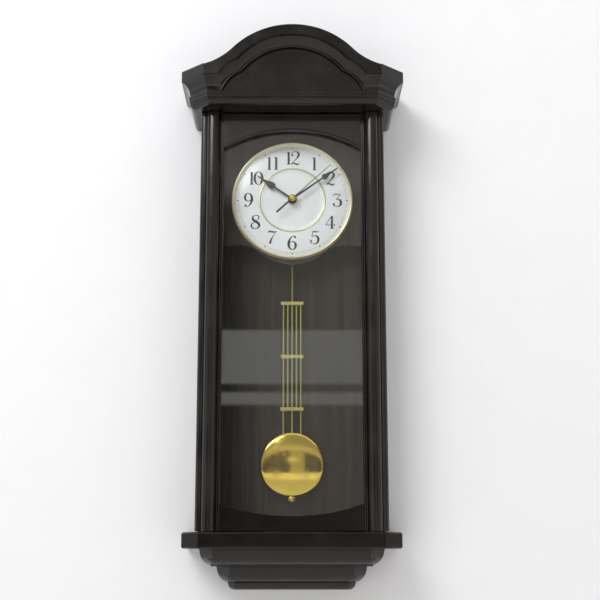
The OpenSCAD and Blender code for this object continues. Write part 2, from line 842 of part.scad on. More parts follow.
module door_bottom_rail() {
    rise = sill_side - sill_mid;
    r = arch_radius(rise);
    color(walnut) hung() {
        slice(door_face, glass_front) difference() {
            translate([-open_x, door_z]) square([2*open_x, sill_side - door_z + 1]);
            translate([0, sill_mid + r]) circle(r = r, $fn = 180);
        }
        // back of the rail, below the pane
        block([-open_x, open_x], [door_back, glass_front], [door_z, glass_z - fit_gap]);
    }
}

module door_glass() {
    color("#aab4b8", 0.25) hung()
        block([-glass_x, glass_x], [glass_back, glass_front], [glass_z, glass_top]);
}

bead_w = 5.5;

module glazing_beads() {
    color(walnut) hung() {
        both_sides() block([glass_x + fit_gap - bead_w, glass_x + fit_gap], [door_back, glass_back],
                           [glass_z, glass_top]);
        for (z = [glass_z, glass_top - bead_w])
            block([bead_w - glass_x - fit_gap, glass_x + fit_gap - bead_w], [door_back, glass_back],
                  [z, z + bead_w]);
    }
}

module door_pins() {
    color(steel) hung() {
        translate([hinge_x, -hinge_y, door_top - pin_depth])
            cylinder(r = pin_r, h = pin_depth + crown_z - door_top + pin_reach);
        translate([hinge_x, -hinge_y, slab_top - pin_reach])
            cylinder(r = pin_r, h = pin_depth + door_z - slab_top + pin_reach);
    }
}

catch_r = 4;
catch_t = 1;
catch_x = inner_x - 4.5;
catch_rise = 254;                 // its height above the slab
catch_z = slab_top + catch_rise;

module catch_magnet() {
    color(black) hung()
        block([-inner_x, -inner_x + 10], [case_d - 14, case_d], [catch_z - 15, catch_z + 15]);
}

module catch_plate() {
    color(steel) hung()
        bar_y([-catch_x, catch_z], catch_r, door_back + catch_t, door_back);
}

// Dial

module dial_plate() {
    color(ivory) hung() difference() {
        bar_y([0, axis_h], dial_d/2 - bezel_w, dial_face, board_y);
        bar_y([0, axis_h], bush_r + 0.05, dial_face + 1, board_y - 1);
    }
}

module dial_bezel() {
    lip = 1;
    color(brass) hung() translate([0, -board_y, axis_h]) rotate([90, 0, 0]) rotate_extrude()
        difference() {
            translate([dial_d/2 - bezel_w, 0]) square([bezel_w, bezel_t]);
            translate([dial_d/2 - bezel_w - 1, bezel_t]) rotate(-45) square([2*lip, 4*lip], center = true);
            translate([dial_d/2, bezel_t]) rotate(45) square([2*lip, 4*lip], center = true);
        }
}

module dial_ring() {
    ring_w = 2;
    color(brass) hung() translate([0, -dial_face, axis_h]) rotate([90, 0, 0]) rotate_extrude()
        translate([ring_r - ring_w/2, 0]) square([ring_w, 0.6]);
}

// Movement

// A gear's outline with one tooth centred on +X, m the module
module gear_flat(n, m, tip = 0.75, root = 1.15) {
    r = n*m/2;
    half = 0.40*180/n;            // half of a tooth at the pitch circle, in degrees
    ra = r + tip*m;
    rd = r - root*m;
    polygon([for (i = [0:n - 1]) let (a = 360*i/n) each [
        [rd*cos(a - 1.25*half), rd*sin(a - 1.25*half)],
        [r*cos(a - half), r*sin(a - half)],
        [ra*cos(a - 0.35*half*r/ra), ra*sin(a - 0.35*half*r/ra)],
        [ra*cos(a + 0.35*half*r/ra), ra*sin(a + 0.35*half*r/ra)],
        [r*cos(a + half), r*sin(a + half)],
        [rd*cos(a + 1.25*half), rd*sin(a + 1.25*half)]
    ]]);
}

// A gear at p, with its front face at depth y and turned by phase degrees
module gear(p, n, m, y, phase) {
    translate([p[0], gear_t - y, axis_h + p[1]]) rotate([90, 0, 0]) linear_extrude(height = gear_t)
        rotate(phase) gear_flat(n, m);
}

// An arbor at p from the clock's centre
module arbor(p, r, y_front, y_back) {
    bar_y([p[0], axis_h + p[1]], r, y_front, y_back);
}

pivot_d = 0.8;      // depth of a blind pivot hole
end_play = 0.1;

module movement_front() {
    color(black) hung() difference() {
        union() {
            difference() {
                block([-move_w/2, move_w/2], [cover_in, board_back], [axis_h - move_down, axis_h + move_up]);
                // gear compartment
                block([shell_t - move_w/2, move_w/2 - shell_t], [cover_in - 1, plate_in],
                      [axis_h + floor_gear, axis_h + move_up - shell_t]);
                // battery compartment
                block([shell_t - move_w/2, move_w/2 - shell_t], [cover_in - 1, plate_in],
                      [axis_h + battery_z - battery_r - 0.4, axis_h + floor_gear - shell_t]);
                // pendulum compartment, open at the bottom for the arm, and a pocket on each side
                block([-swing_half, swing_half], [cover_in - 1, plate_in], low_room);
                both_sides() block([swing_half + shell_t, move_w/2 - shell_t],
                                   [cover_in - 1, plate_in], low_room);
                block([-slot_half, slot_half], [cover_in - 1, plate_in - 6],
                      [axis_h - move_down - 1, low_room[0] + 1]);
            }
            // threaded bush through the dial
            arbor([0, 0], bush_r, y_bush, board_back);
            // posts for the middle plate, stud for the motion wheel, peg for the pendulum
            for (p = posts) arbor(p, 1.4, plate_in, y_plate);
            arbor(p_motion, 0.6, plate_in, y_motion - gear_t + 0.1);
            bar_y([0, pivot_h], 1, plate_in, swing_y - 3);
        }
        arbor([0, 0], bush_bore, y_bush + 1, plate_in - 1);
        arbor(p_third, arbor_r + play, plate_in + pivot_d, plate_in - 1);
        arbor(p_setting, 0.9 + play, plate_in + pivot_d, plate_in - 1);
    }
}

module movement_back() {
    color(black) hung() difference() {
        union() {
            difference() {
                block([-move_w/2, move_w/2], [move_back, cover_in],
                      [axis_h - move_down, axis_h + move_up]);
                // window for the battery
                block([shell_t - move_w/2, move_w/2 - shell_t], [move_back - 1, cover_in + 1],
                      [low_room[1] + shell_t, axis_h + floor_gear - shell_t]);
            }
            // pegs that carry the circuit board
            for (z = [6, 22]) bar_y([-19, axis_h + z], 1.2, y_board, cover_in);
        }
        for (p = [p_third, p_inter, p_rotor])
            arbor(p, arbor_r + play, cover_in + 1, cover_in - pivot_d);
        arbor([0, 0], seconds_r + play, cover_in + 1, cover_in - pivot_d);
        arbor(p_setting, 0.9 + play, cover_in + 1, move_back - 1);
    }
}

module middle_plate() {
    color(ivory) hung() difference() {
        union() {
            block([-15, 20], [y_plate - gear_t, y_plate], [axis_h - 13.5, axis_h + 20]);
            // pegs that carry the stator
            for (z = [-10.6, -4.6]) arbor([18, z], 1.1, y_plate - gear_t + eps, stator_y);
        }
        arbor([0, 0], seconds_r + play, y_plate + 1, y_plate - gear_t - 1);
        for (p = [p_third, p_inter, p_rotor])
            arbor(p, arbor_r + play, y_plate + 1, y_plate - gear_t - 1);
    }
}

y_board = cover_in + 2.3;       // rear face of the circuit board

module circuit_board() {
    color("#2f6b3c") hung() {
        block([shell_t + 0.6 - move_w/2, -11.5], [y_board, y_board + 1], [axis_h + 1, axis_h + 26]);
        block([-22, -15], [y_board + 1, y_board + 2.2], [axis_h + 9, axis_h + 16]);
    }
}

stator_y = y_rotor - 0.6;        // front face of the stator
stator_t = 1.2;
coil_x = move_w/2 - shell_t - 4.6;
coil_z = [-1.5, 13];
core_w = 3;

module motor_stator() {
    color(steel) hung() difference() {
        union() {
            block([p_rotor[0] - 4.6, coil_x + core_w/2], [stator_y - stator_t, stator_y],
                  [axis_h + p_rotor[1] - 4.6, axis_h + p_rotor[1] + 4.6]);
            block([coil_x - core_w/2, coil_x + core_w/2], [stator_y - stator_t, stator_y],
                  [axis_h + p_rotor[1], axis_h + coil_z[1] + 3]);
        }
        arbor(p_rotor, rotor_r + 0.4, stator_y + 1, stator_y - stator_t - 1);
    }
}

module motor_coil() {
    color("#a5562b") hung() difference() {
        translate([coil_x, stator_t/2 - stator_y, axis_h + coil_z[0]])
            cylinder(r = 2.7, h = coil_z[1] - coil_z[0]);
        block([coil_x - core_w/2, coil_x + core_w/2], [stator_y - stator_t, stator_y],
              [axis_h + coil_z[0] - 1, axis_h + coil_z[1] + 1]);
    }
}

rotor_r = 2.8;

module rotor() {
    color(steel) hung() {
        gear(p_rotor, n_pinion, tooth_m, y_inter, a_inter + 180 + 180/n_pinion);
        arbor(p_rotor, rotor_r, y_rotor, y_rotor - 2.2);
        arbor(p_rotor, arbor_r, y_plate - 0.2, cover_in - pivot_d + end_play);
    }
}

module intermediate_wheel() {
    color(ivory) hung() {
        gear(p_inter, n_pinion, tooth_m, y_second, a_inter + 180 + 180/n_pinion);
        gear(p_inter, n_inter, tooth_m, y_inter, a_inter);
        arbor(p_inter, 1.1, y_second - gear_t + eps, y_inter - eps);
        arbor(p_inter, arbor_r, y_plate - 0.2, cover_in - pivot_d + end_play);
    }
}

module second_wheel() {
    color(ivory) hung() {
        gear([0, 0], n_second, tooth_m, y_second, a_inter);
        gear([0, 0], n_pinion, tooth_m, y_third, a_third);
        arbor([0, 0], 0.95, y_third - gear_t + eps, y_second - eps);
        arbor([0, 0], seconds_r, y_cap + 1.6, cover_in - pivot_d + end_play);
    }
}

module third_wheel() {
    color(ivory) hung() {
        gear(p_third, n_third, tooth_m, y_third, a_third + 180 + 180/n_third);
        gear(p_third, n_pinion, m_centre, y_centre, a_third + 180);
        arbor(p_third, arbor_r, plate_in + pivot_d - end_play, cover_in - pivot_d + end_play);
    }
}

module centre_wheel() {
    color(ivory) hung() difference() {
        gear([0, 0], n_centre, m_centre, y_centre, a_third + 180/n_centre);
        arbor([0, 0], minute_r + play, y_centre + 1, y_centre - gear_t - 1);
    }
}

module minute_pipe() {
    color(ivory) hung() difference() {
        union() {
            gear([0, 0], n_cannon, m_motion, y_motion, a_motion + 180/n_cannon);
            arbor([0, 0], minute_r, y_minute_hand + 0.4, y_plate + 0.2);
        }
        arbor([0, 0], minute_bore, y_minute_hand + 1, y_plate - 1);
    }
}

module motion_wheel() {
    color(ivory) hung() difference() {
        union() {
            gear(p_motion, n_motion, m_motion, y_motion, a_motion + 180);
            gear(p_motion, n_motion_pinion, m_hour, y_hour, a_motion + 180 + 180/n_motion_pinion);
            arbor(p_motion, 1.3, y_hour - eps, y_motion - eps);
        }
        arbor(p_motion, 0.6 + play, y_hour + 1, y_motion - gear_t - 1);
    }
}

module hour_wheel() {
    color(ivory) hung() difference() {
        union() {
            gear([0, 0], n_hour, m_hour, y_hour, a_motion);
            arbor([0, 0], hour_r, y_hour_hand + 0.4, y_hour - gear_t);
        }
        arbor([0, 0], hour_bore, y_hour_hand + 1, y_hour - gear_t - 1);
    }
}

module setting_knob() {
    knob_r = 5;
    color(black) hung() difference() {
        union() {
            gear(p_setting, n_cannon, m_motion, y_motion, a_motion + 180 + 180/n_cannon);
            arbor(p_setting, 0.9, plate_in + pivot_d - end_play, move_back - 0.5);
            arbor(p_setting, knob_r, move_back - 0.3, move_back - 4);
        }
        // finger notches around the rim
        for (a = [0:30:330]) arbor(p_setting + (knob_r + 0.5)*[cos(a), sin(a)], 0.9,
                                   move_back + 1, move_back - 5);
    }
}

module battery() {
    color("#3f4a63") hung() translate([-battery_half, -battery_y, axis_h + battery_z]) rotate([0, 90, 0]) {
        cylinder(r = battery_r, h = 2*battery_half - 1);
        cylinder(r = 2.7, h = 2*battery_half);
    }
}
battery_y = plate_in - battery_r - 0.1;

module battery_contacts() {
    wall_x = move_w/2 - shell_t;
    color(steel) hung() for (s = [-1, 1]) {
        translate([s*(wall_x - 0.25), -battery_y, axis_h + battery_z])
            cube([0.5, 9, 9], center = true);
        translate([s*(wall_x + battery_half - 0.5)/2, -battery_y, axis_h + battery_z])
            rotate([0, 90, 0]) cylinder(r = 2.4, h = wall_x - battery_half - 0.5, center = true);
    }
}

module fixing_nut() {
    color(brass) hung() difference() {
        arbor([0, 0], 6.2, dial_face + 2.2, dial_face);
        arbor([0, 0], bush_r, dial_face + 3, dial_face - 1);
    }
}

// Hands

// A spade hand that points up: a waisted blade with a round belly, and a spike
module spade(length, belly_at, belly, tip_at, hub) {
    shank_w = 1.5;
    translate([-shank_w/2, 0]) square([shank_w, belly_at]);
    translate([0, belly_at]) circle(r = belly/2, $fn = 48);
    polygon([
        [-belly/2 + 0.15, belly_at + 0.8], [0, belly_at - belly/2], [belly/2 - 0.15, belly_at + 0.8],
        [belly*0.30, belly_at + 0.42*(tip_at - belly_at)], [0.5, tip_at], [0.35, length],
        [-0.35, length], [-0.5, tip_at], [-belly*0.30, belly_at + 0.42*(tip_at - belly_at)]
    ]);
    circle(r = hub);
}

module hand(y, angle) {
    translate([0, hand_t - y, axis_h]) rotate([90, 0, 0]) linear_extrude(height = hand_t)
        rotate(-angle) children();
}

module hour_hand() {
    color(black) hung() hand(y_hour_hand, hour_angle) difference() {
        spade(hour_len, 31, 8.4, 41, 5);
        circle(r = hour_r);
    }
}

module minute_hand() {
    color(black) hung() hand(y_minute_hand, minute_angle) difference() {
        spade(minute_len, 51, 7, 59, 4.2);
        circle(r = minute_r);
    }
}

module second_hand() {
    blade_y = y_cap + 0.9;
    hung() {
        color(black) hand(blade_y, second_angle) difference() {
            union() {
                translate([-0.4, 0]) square([0.8, second_len]);
                translate([-1.2, -second_tail]) square([2.4, second_tail]);
            }
            circle(r = cap_r - 0.5);
        }
        color(brass) difference() {
            intersection() {
                translate([0, -y_cap, axis_h]) sphere(r = cap_r);
                arbor([0, 0], cap_r + 1, y_cap + cap_r + 1, y_cap + 0.2);
            }
            arbor([0, 0], seconds_r, y_cap + 1.6, y_cap - 1);
        }
    }
}

// Pendulum

coil_r = 5;
magnet_z = pivot_h - 6.4;       // the coil drives a magnet on the arm

module pendulum_coil() {
    color("#a5562b") hung() difference() {
        bar_y([0, magnet_z], coil_r, plate_in, swing_y + 2.2);
        bar_y([0, magnet_z], 1.5, plate_in + 1, swing_y + 1);
    }
}

module pendulum_arm() {
    arm_w = 5;
    color(ivory) hung() difference() {
        union() {
            bar_y([0, pivot_h], 3, swing_y + 1, swing_y - 1);
            bar_y([0, arm_end], arm_w/2, swing_y + 1, swing_y - 1);
            block([-arm_w/2, arm_w/2], [swing_y - 1, swing_y + 1], [arm_end, pivot_h]);
            bar_y([0, magnet_z], 4, swing_y + 1.8, swing_y);
        }
        bar_y([0, pivot_h], 1 + play, swing_y + 2, swing_y - 2);
        bar_y([0, arm_end], rod_d/2, swing_y + 2, swing_y - 2);
    }
}

module pendulum_rods() {
    color(brass) hung() {
        // peg and eye that hang on the arm
        bar_y([0, arm_end], rod_d/2, swing_y + 1.6, swing_y - 3);
        block([-2.2, 2.2], [swing_y - 3, swing_y - 1.1], [arm_end - 12, arm_end + 2]);
        block([-2.2, 2.2], [swing_y - 3, swing_y + rod_d/2], [arm_end - 12, arm_end - 4]);
        rod(0, bar_zs[0] + bar_h/2 - eps, arm_end - 12 + eps);
        for (i = [-2:2]) {
            rod(i*rod_pitch, bar_zs[1] + bar_h/2, bar_zs[0] - bar_h/2);
            rod(i*rod_pitch, bar_zs[2] + bar_h/2, bar_zs[1] - bar_h/2);
        }
        for (i = [-2, 2]) rod(i*rod_pitch, bob_h + bob_d/2 - 3, bar_zs[2] - bar_h/2);
        rod(0, bob_h - bob_d/2 - 6, bar_zs[2] - bar_h/2);
    }
}

module rod(x, z0, z1) {
    translate([x, -swing_y, z0]) cylinder(r = rod_d/2, h = z1 - z0, $fn = 32);
}

module pendulum_bars() {
    color(brass) hung() for (z = bar_zs)
        block([-bar_w/2, bar_w/2], [swing_y - bar_t/2, swing_y + bar_t/2], [z - bar_h/2, z + bar_h/2]);
}

// Domed front inside a flat rim, and a shallow round weight behind
module pendulum_bob() {
    rim_w = 2.4;
    rim_t = 3;
    dome = bob_t*0.6 - rim_t/2;
    r = bob_d/2 - rim_w;
    dome_r = (r*r + dome*dome)/(2*dome);
    dome_a = asin(r/dome_r);
    color(brass) hung() difference() {
        translate([0, -swing_y, bob_h]) rotate([90, 0, 0]) rotate_extrude() polygon(concat(
            [[0, -bob_t*0.4], [r - 8, -bob_t*0.4], [r - 8, -rim_t/2], [bob_d/2, -rim_t/2],
             [bob_d/2, rim_t/2], [r, rim_t/2]],
            [for (i = [1:dome_steps]) let (a = dome_a*(1 - i/dome_steps))
                [dome_r*sin(a), rim_t/2 + dome - dome_r*(1 - cos(a))]]
        ));
        for (i = [-2, 2]) rod(i*rod_pitch, bob_h + bob_d/2 - 3 - eps, bar_zs[2]);
        rod(0, bob_h - bob_d, bar_zs[2]);
    }
}

module rating_nut() {
    nut_r = 4.85;
    nut_z = bob_h - bob_d/2 - 3.6;
    color(brass) hung() difference() {
        union() {
            translate([0, -swing_y, nut_z]) cylinder(r = nut_r, h = 2.2);
            translate([0, -swing_y, nut_z + 2.2]) cylinder(r = 3.4, h = 1.3);
            translate([0, -swing_y, nut_z - 1.4]) cylinder(r = 2.2, h = 1.4);
        }
        rod(0, nut_z - 5, nut_z + 5);
    }
}

back_panel();
side_panel_left();
side_panel_right();
hanging_rail();
hanger_plate();
hanger_screws();
dial_board();
board_cleats();
board_screws();
crown_soffit();
cornice_front();
cornice_corners();
cornice_sides();
pediment_face();
pediment_moulding();
pediment_panel();
crown_lid();
base_slab();
base_tier_upper();
base_tier_lower();
base_foot();
door_stile_left();
door_stile_right();
door_top_rail();
door_bottom_rail();
door_glass();
glazing_beads();
door_pins();
catch_magnet();
catch_plate();
movement_front();
movement_back();
middle_plate();
battery();
battery_contacts();
circuit_board();
motor_coil();
motor_stator();
fixing_nut();
rotor();
intermediate_wheel();
second_wheel();
third_wheel();
centre_wheel();
minute_pipe();
motion_wheel();
hour_wheel();
setting_knob();
hour_hand();
minute_hand();
second_hand();
dial_plate();
dial_bezel();
dial_ring();
pendulum_coil();
pendulum_arm();
pendulum_rods();
pendulum_bars();
pendulum_bob();
rating_nut();
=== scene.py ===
"""A small pendulum wall clock in dark lacquered wood, dressed on its construction model."""

from math import asin, cos, pi, radians, sin, sqrt, tan

import bmesh
import bpy
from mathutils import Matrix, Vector
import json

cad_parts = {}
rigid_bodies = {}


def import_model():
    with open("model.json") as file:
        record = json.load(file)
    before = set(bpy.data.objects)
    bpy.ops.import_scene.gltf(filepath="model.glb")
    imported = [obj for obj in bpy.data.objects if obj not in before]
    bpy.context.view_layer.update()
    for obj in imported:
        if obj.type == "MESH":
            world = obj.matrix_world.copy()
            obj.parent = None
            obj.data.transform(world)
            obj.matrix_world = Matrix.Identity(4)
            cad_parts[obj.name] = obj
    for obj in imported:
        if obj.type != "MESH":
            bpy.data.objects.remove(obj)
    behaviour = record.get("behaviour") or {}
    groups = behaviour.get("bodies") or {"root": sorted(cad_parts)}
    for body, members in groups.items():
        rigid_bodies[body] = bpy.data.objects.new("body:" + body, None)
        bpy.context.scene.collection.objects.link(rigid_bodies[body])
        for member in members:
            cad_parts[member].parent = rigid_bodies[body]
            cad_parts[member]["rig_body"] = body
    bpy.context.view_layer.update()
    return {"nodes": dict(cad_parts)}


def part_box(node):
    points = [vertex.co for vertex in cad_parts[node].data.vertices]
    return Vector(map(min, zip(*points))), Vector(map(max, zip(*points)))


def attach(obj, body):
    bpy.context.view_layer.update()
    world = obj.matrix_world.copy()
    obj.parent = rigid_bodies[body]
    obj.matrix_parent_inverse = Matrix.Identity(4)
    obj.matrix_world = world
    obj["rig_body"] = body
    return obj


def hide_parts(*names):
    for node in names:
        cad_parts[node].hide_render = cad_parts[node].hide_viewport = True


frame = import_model()
nodes = frame["nodes"]
scene = bpy.context.scene
MM = 0.001

# The camera stands 1.49 m off the wall, level with the clock's base, and looks up at it.
lens = bpy.data.cameras.new("photographer")
lens.lens = 72
lens.sensor_width = 36
camera = bpy.data.objects.new("photographer", lens)
camera.location = (0, -1.490, -0.5171)
camera.rotation_euler = (radians(90 + 11.88), 0, radians(-0.38))
scene.collection.objects.link(camera)
scene.camera = camera
scene.view_settings.view_transform = "Standard"


# Nodes and colours


def tint(code):
    """An sRGB hex colour as the linear colour that a socket takes."""
    parts = [int(code[i : i + 2], 16) / 255 for i in (1, 3, 5)]
    return (*[c / 12.92 if c <= 0.04045 else ((c + 0.055) / 1.055) ** 2.4 for c in parts], 1)


def add(tree, kind, inputs=None, **settings):
    """Adds one node: settings are its properties, and inputs are nodes, sockets, hex colours or
    plain values, by the socket's name or number."""
    made = tree.nodes.new(kind)
    for key, value in settings.items():
        setattr(made, key, value)
    for key, value in (inputs or {}).items():
        if isinstance(value, bpy.types.Node):
            value = next(s for s in value.outputs if s.enabled)
        if isinstance(value, bpy.types.NodeSocket):
            tree.links.new(value, made.inputs[key])
        else:
            made.inputs[key].default_value = tint(value) if isinstance(value, str) else value
    return made


# Settings that many nodes share: a map range that eases, from 3 to 4 where its input goes from
# 1 to 2; a product; and a mix of colours, from 6 to 7 by its factor, 0.
EASE = {"interpolation_type": "SMOOTHSTEP"}
TIMES = {"operation": "MULTIPLY"}
COLOURS = {"data_type": "RGBA"}


def new_finish(name):
    """An empty material, its node tree, and the place on the piece in its own coordinates."""
    made = bpy.data.materials.new(name)
    made.use_nodes = True
    tree = made.node_tree
    tree.nodes.clear()
    return made, tree, add(tree, "ShaderNodeTexCoord").outputs["Object"]


def grain_along(axis, stretch):
    """Scales that draw a pattern out along an axis, as grain runs in a board."""
    return [1 / stretch if axis == each else 1.0 for each in "xyz"]


# Finishes


def lacquered_wood(name, along, shine):
    """Stained hardwood under a sprayed semi-gloss lacquer: nearly black, with pores and streaks
    along the grain, a faint orange-peel in the film, and browner rubbed edges."""
    dark, light, worn = "#0a0706", "#15100d", "#2f261d"
    finish, tree, plain = new_finish(name)
    streaky = add(
        tree, "ShaderNodeMapping", {"Vector": plain, "Scale": grain_along(along, 22)}
    )
    streaks = add(
        tree,
        "ShaderNodeTexNoise",
        {"Vector": streaky, "Scale": 1 / (1.6 * MM), "Detail": 4.0, "Roughness": 0.6},
    )
    bands = add(
        tree, "ShaderNodeTexNoise", {"Vector": streaky, "Scale": 1 / (9 * MM), "Detail": 2.0}
    )
    pores = add(
        tree, "ShaderNodeTexNoise", {"Vector": streaky, "Scale": 1 / (0.7 * MM), "Detail": 2.0}
    )
    pores = add(tree, "ShaderNodeMapRange", {0: pores, 1: 0.60, 2: 0.72}, **EASE)
    mist = add(
        tree,
        "ShaderNodeTexNoise",
        {"Vector": plain, "Scale": 1 / (38 * MM), "Detail": 3.0, "Roughness": 0.55},
    )
    tone = add(tree, "ShaderNodeMath", {0: streaks, 1: bands}, **TIMES)
    tone = add(tree, "ShaderNodeMapRange", {0: tone, 1: 0.12, 2: 0.42}, **EASE)
    colour = add(tree, "ShaderNodeMix", {0: tone, 6: dark, 7: light}, **COLOURS)
    thin = add(tree, "ShaderNodeMapRange", {0: mist, 1: 0.42, 2: 0.75, 4: 0.15}, **EASE)
    colour = add(tree, "ShaderNodeMix", {0: thin, 6: colour, 7: worn}, **COLOURS)
    rubbed = add(tree, "ShaderNodeAttribute", attribute_name="eased").outputs["Fac"]
    broken = add(
        tree,
        "ShaderNodeTexNoise",
        {"Vector": plain, "Scale": 1 / (5 * MM), "Detail": 3.0, "Roughness": 0.6},
    )
    broken = add(tree, "ShaderNodeMapRange", {0: broken, 1: 0.40, 2: 0.66, 3: 0.15}, **EASE)
    wear = add(tree, "ShaderNodeMath", {0: rubbed, 1: broken}, **TIMES)
    colour = add(tree, "ShaderNodeMix", {0: wear, 6: colour, 7: worn}, **COLOURS)
    peel = add(
        tree, "ShaderNodeTexNoise", {"Vector": plain, "Scale": 1 / (2.2 * MM), "Detail": 1.0}
    )
    film = add(
        tree, "ShaderNodeMath", {0: pores, 1: -0.5, 2: peel}, operation="MULTIPLY_ADD"
    )
    shell = add(
        tree,
        "ShaderNodeBsdfPrincipled",
        {
            "Base Color": colour,
            "Roughness": add(
                tree, "ShaderNodeMapRange", {0: mist, 1: 0.30, 2: 0.72, 3: 0.13, 4: 0.24}, **EASE
            ),
            "IOR": 1.5,
            "Specular IOR Level": shine,
            "Normal": add(
                tree, "ShaderNodeBump", {"Height": film, "Distance": 0.03 * MM, "Strength": 0.6}
            ),
        },
    )
    add(tree, "ShaderNodeOutputMaterial", {"Surface": shell})
    return finish


# The grain runs up the sides and columns, along the crown and base, and back along the returns.
# The rails and the slab were rubbed down to a different shine from the rest.
wood_up = lacquered_wood("lacquered_wood_upright", "z", 0.7)
wood_level = lacquered_wood("lacquered_wood_level", "x", 0.45)
wood_rail = lacquered_wood("lacquered_wood_rail", "x", 0.75)
wood_flat = lacquered_wood("lacquered_wood_flat", "x", 0.24)
wood_back = lacquered_wood("lacquered_wood_return", "y", 0.5)


def plain_timber(name, along, dark, light, rough):
    """Board inside the case, stained but not lacquered: dull, with fine streaks along it."""
    finish, tree, plain = new_finish(name)
    streaky = add(
        tree, "ShaderNodeMapping", {"Vector": plain, "Scale": grain_along(along, 30)}
    )
    fine = add(
        tree, "ShaderNodeTexNoise", {"Vector": streaky, "Scale": 1 / (3.2 * MM), "Detail": 2.0}
    )
    broad = add(
        tree, "ShaderNodeTexNoise", {"Vector": streaky, "Scale": 1 / (11 * MM), "Detail": 2.0}
    )
    tone = add(tree, "ShaderNodeMath", {0: fine, 1: broad}, **TIMES)
    tone = add(tree, "ShaderNodeMapRange", {0: tone, 1: 0.13, 2: 0.40}, **EASE)
    shell = add(
        tree,
        "ShaderNodeBsdfPrincipled",
        {
            "Base Color": add(tree, "ShaderNodeMix", {0: tone, 6: dark, 7: light}, **COLOURS),
            "Roughness": add(
                tree,
                "ShaderNodeMapRange",
                {0: fine, 1: 0.3, 2: 0.7, 3: rough, 4: rough + 0.15},
                **EASE,
            ),
            "Specular IOR Level": 0.2,
            "Normal": add(
                tree, "ShaderNodeBump", {"Height": fine, "Distance": 0.02 * MM, "Strength": 0.4}
            ),
        },
    )
    add(tree, "ShaderNodeOutputMaterial", {"Surface": shell})
    return finish


panel_veneer = plain_timber("panel_veneer_stained", "z", "#080605", "#2a211a", 0.5)
board_veneer = plain_timber("board_veneer_brown", "z", "#1f1a18", "#372f2b", 0.5)


def metal(name, colour, deep, rough, grit=0.4, drawn=(1, 1, 1)):
    """Metal with fine tool marks, grit millimetres wide and longer where drawn is small, and a
    breath of tarnish that dulls it in patches."""
    finish, tree, plain = new_finish(name)
    lines = add(tree, "ShaderNodeMapping", {"Vector": plain, "Scale": drawn})
    lines = add(
        tree, "ShaderNodeTexNoise", {"Vector": lines, "Scale": 1 / (grit * MM), "Detail": 2.0}
    )
    haze = add(
        tree,
        "ShaderNodeTexNoise",
        {"Vector": plain, "Scale": 1 / (14 * MM), "Detail": 3.0, "Roughness": 0.6},
    )
    patina = add(tree, "ShaderNodeMapRange", {0: haze, 1: 0.40, 2: 0.75, 4: 0.4}, **EASE)
    shell = add(
        tree,
        "ShaderNodeBsdfPrincipled",
        {
            "Base Color": add(tree, "ShaderNodeMix", {0: patina, 6: colour, 7: deep}, **COLOURS),
            "Metallic": 1.0,
            "Roughness": add(
                tree,
                "ShaderNodeMapRange",
                {0: haze, 1: 0.35, 2: 0.70, 3: rough, 4: rough + 0.10},
                **EASE,
            ),
            "Normal": add(
                tree,
                "ShaderNodeBump",
                {"Height": lines, "Distance": 0.003 * MM, "Strength": 0.3},
            ),
        },
    )
    add(tree, "ShaderNodeOutputMaterial", {"Surface": shell})
    return finish


# Buffed brass on the bob and cap, pale lacquered brass on the bezel and nut, a drawn ring, the
# turned rating nut, rods and bars that have gone greenish, plated steel, and the coils' wire.
brass_polished = metal("brass_polished", "#d8be57", "#bfa23f", 0.08)
brass_pale = metal("brass_lacquered_pale", "#ece4c6", "#d6cba0", 0.28)
brass_ring = metal("brass_ring_drawn", "#d3cb9f", "#bbb184", 0.30)
brass_turned = metal("brass_turned_rough", "#e0d88f", "#c2ba74", 0.42)
brass_drawn = metal("brass_drawn_rod", "#b4b05c", "#98944a", 0.36, drawn=(1, 1, 0.05))
brass_bar = metal("brass_cut_bar", "#cbc582", "#aea866", 0.22)
steel_zinc = metal("steel_zinc_plated", "#b9bcbd", "#8f9190", 0.32, grit=0.6, drawn=(1, 1, 0.1))
copper = metal("copper_wire_enamelled", "#b3623a", "#7d3c22", 0.30, grit=0.3, drawn=(1, 0.05, 1))


def moulded(name, colour, shade, rough, grain=0.5, depth=0.02):
    """Moulded plastic or a sprayed coat: an even colour with the fine grain of its tool, whose
    size and depth are in millimetres."""
    finish, tree, plain = new_finish(name)
    grit = add(
        tree, "ShaderNodeTexNoise", {"Vector": plain, "Scale": 1 / (grain * MM), "Detail": 2.0}
    )
    flow = add(
        tree, "ShaderNodeTexNoise", {"Vector": plain, "Scale": 1 / (20 * MM), "Detail": 2.0}
    )
    flow = add(tree, "ShaderNodeMapRange", {0: flow, 1: 0.35, 2: 0.70}, **EASE)
    shell = add(
        tree,
        "ShaderNodeBsdfPrincipled",
        {
            "Base Color": add(tree, "ShaderNodeMix", {0: flow, 6: colour, 7: shade}, **COLOURS),
            "Roughness": add(
                tree,
                "ShaderNodeMapRange",
                {0: grit, 1: 0.3, 2: 0.7, 3: rough, 4: rough + 0.12},
                **EASE,
            ),
            "Normal": add(
                tree, "ShaderNodeBump", {"Height": grit, "Distance": depth * MM, "Strength": 0.5}
            ),
        },
    )
    add(tree, "ShaderNodeOutputMaterial", {"Surface": shell})
    return finish


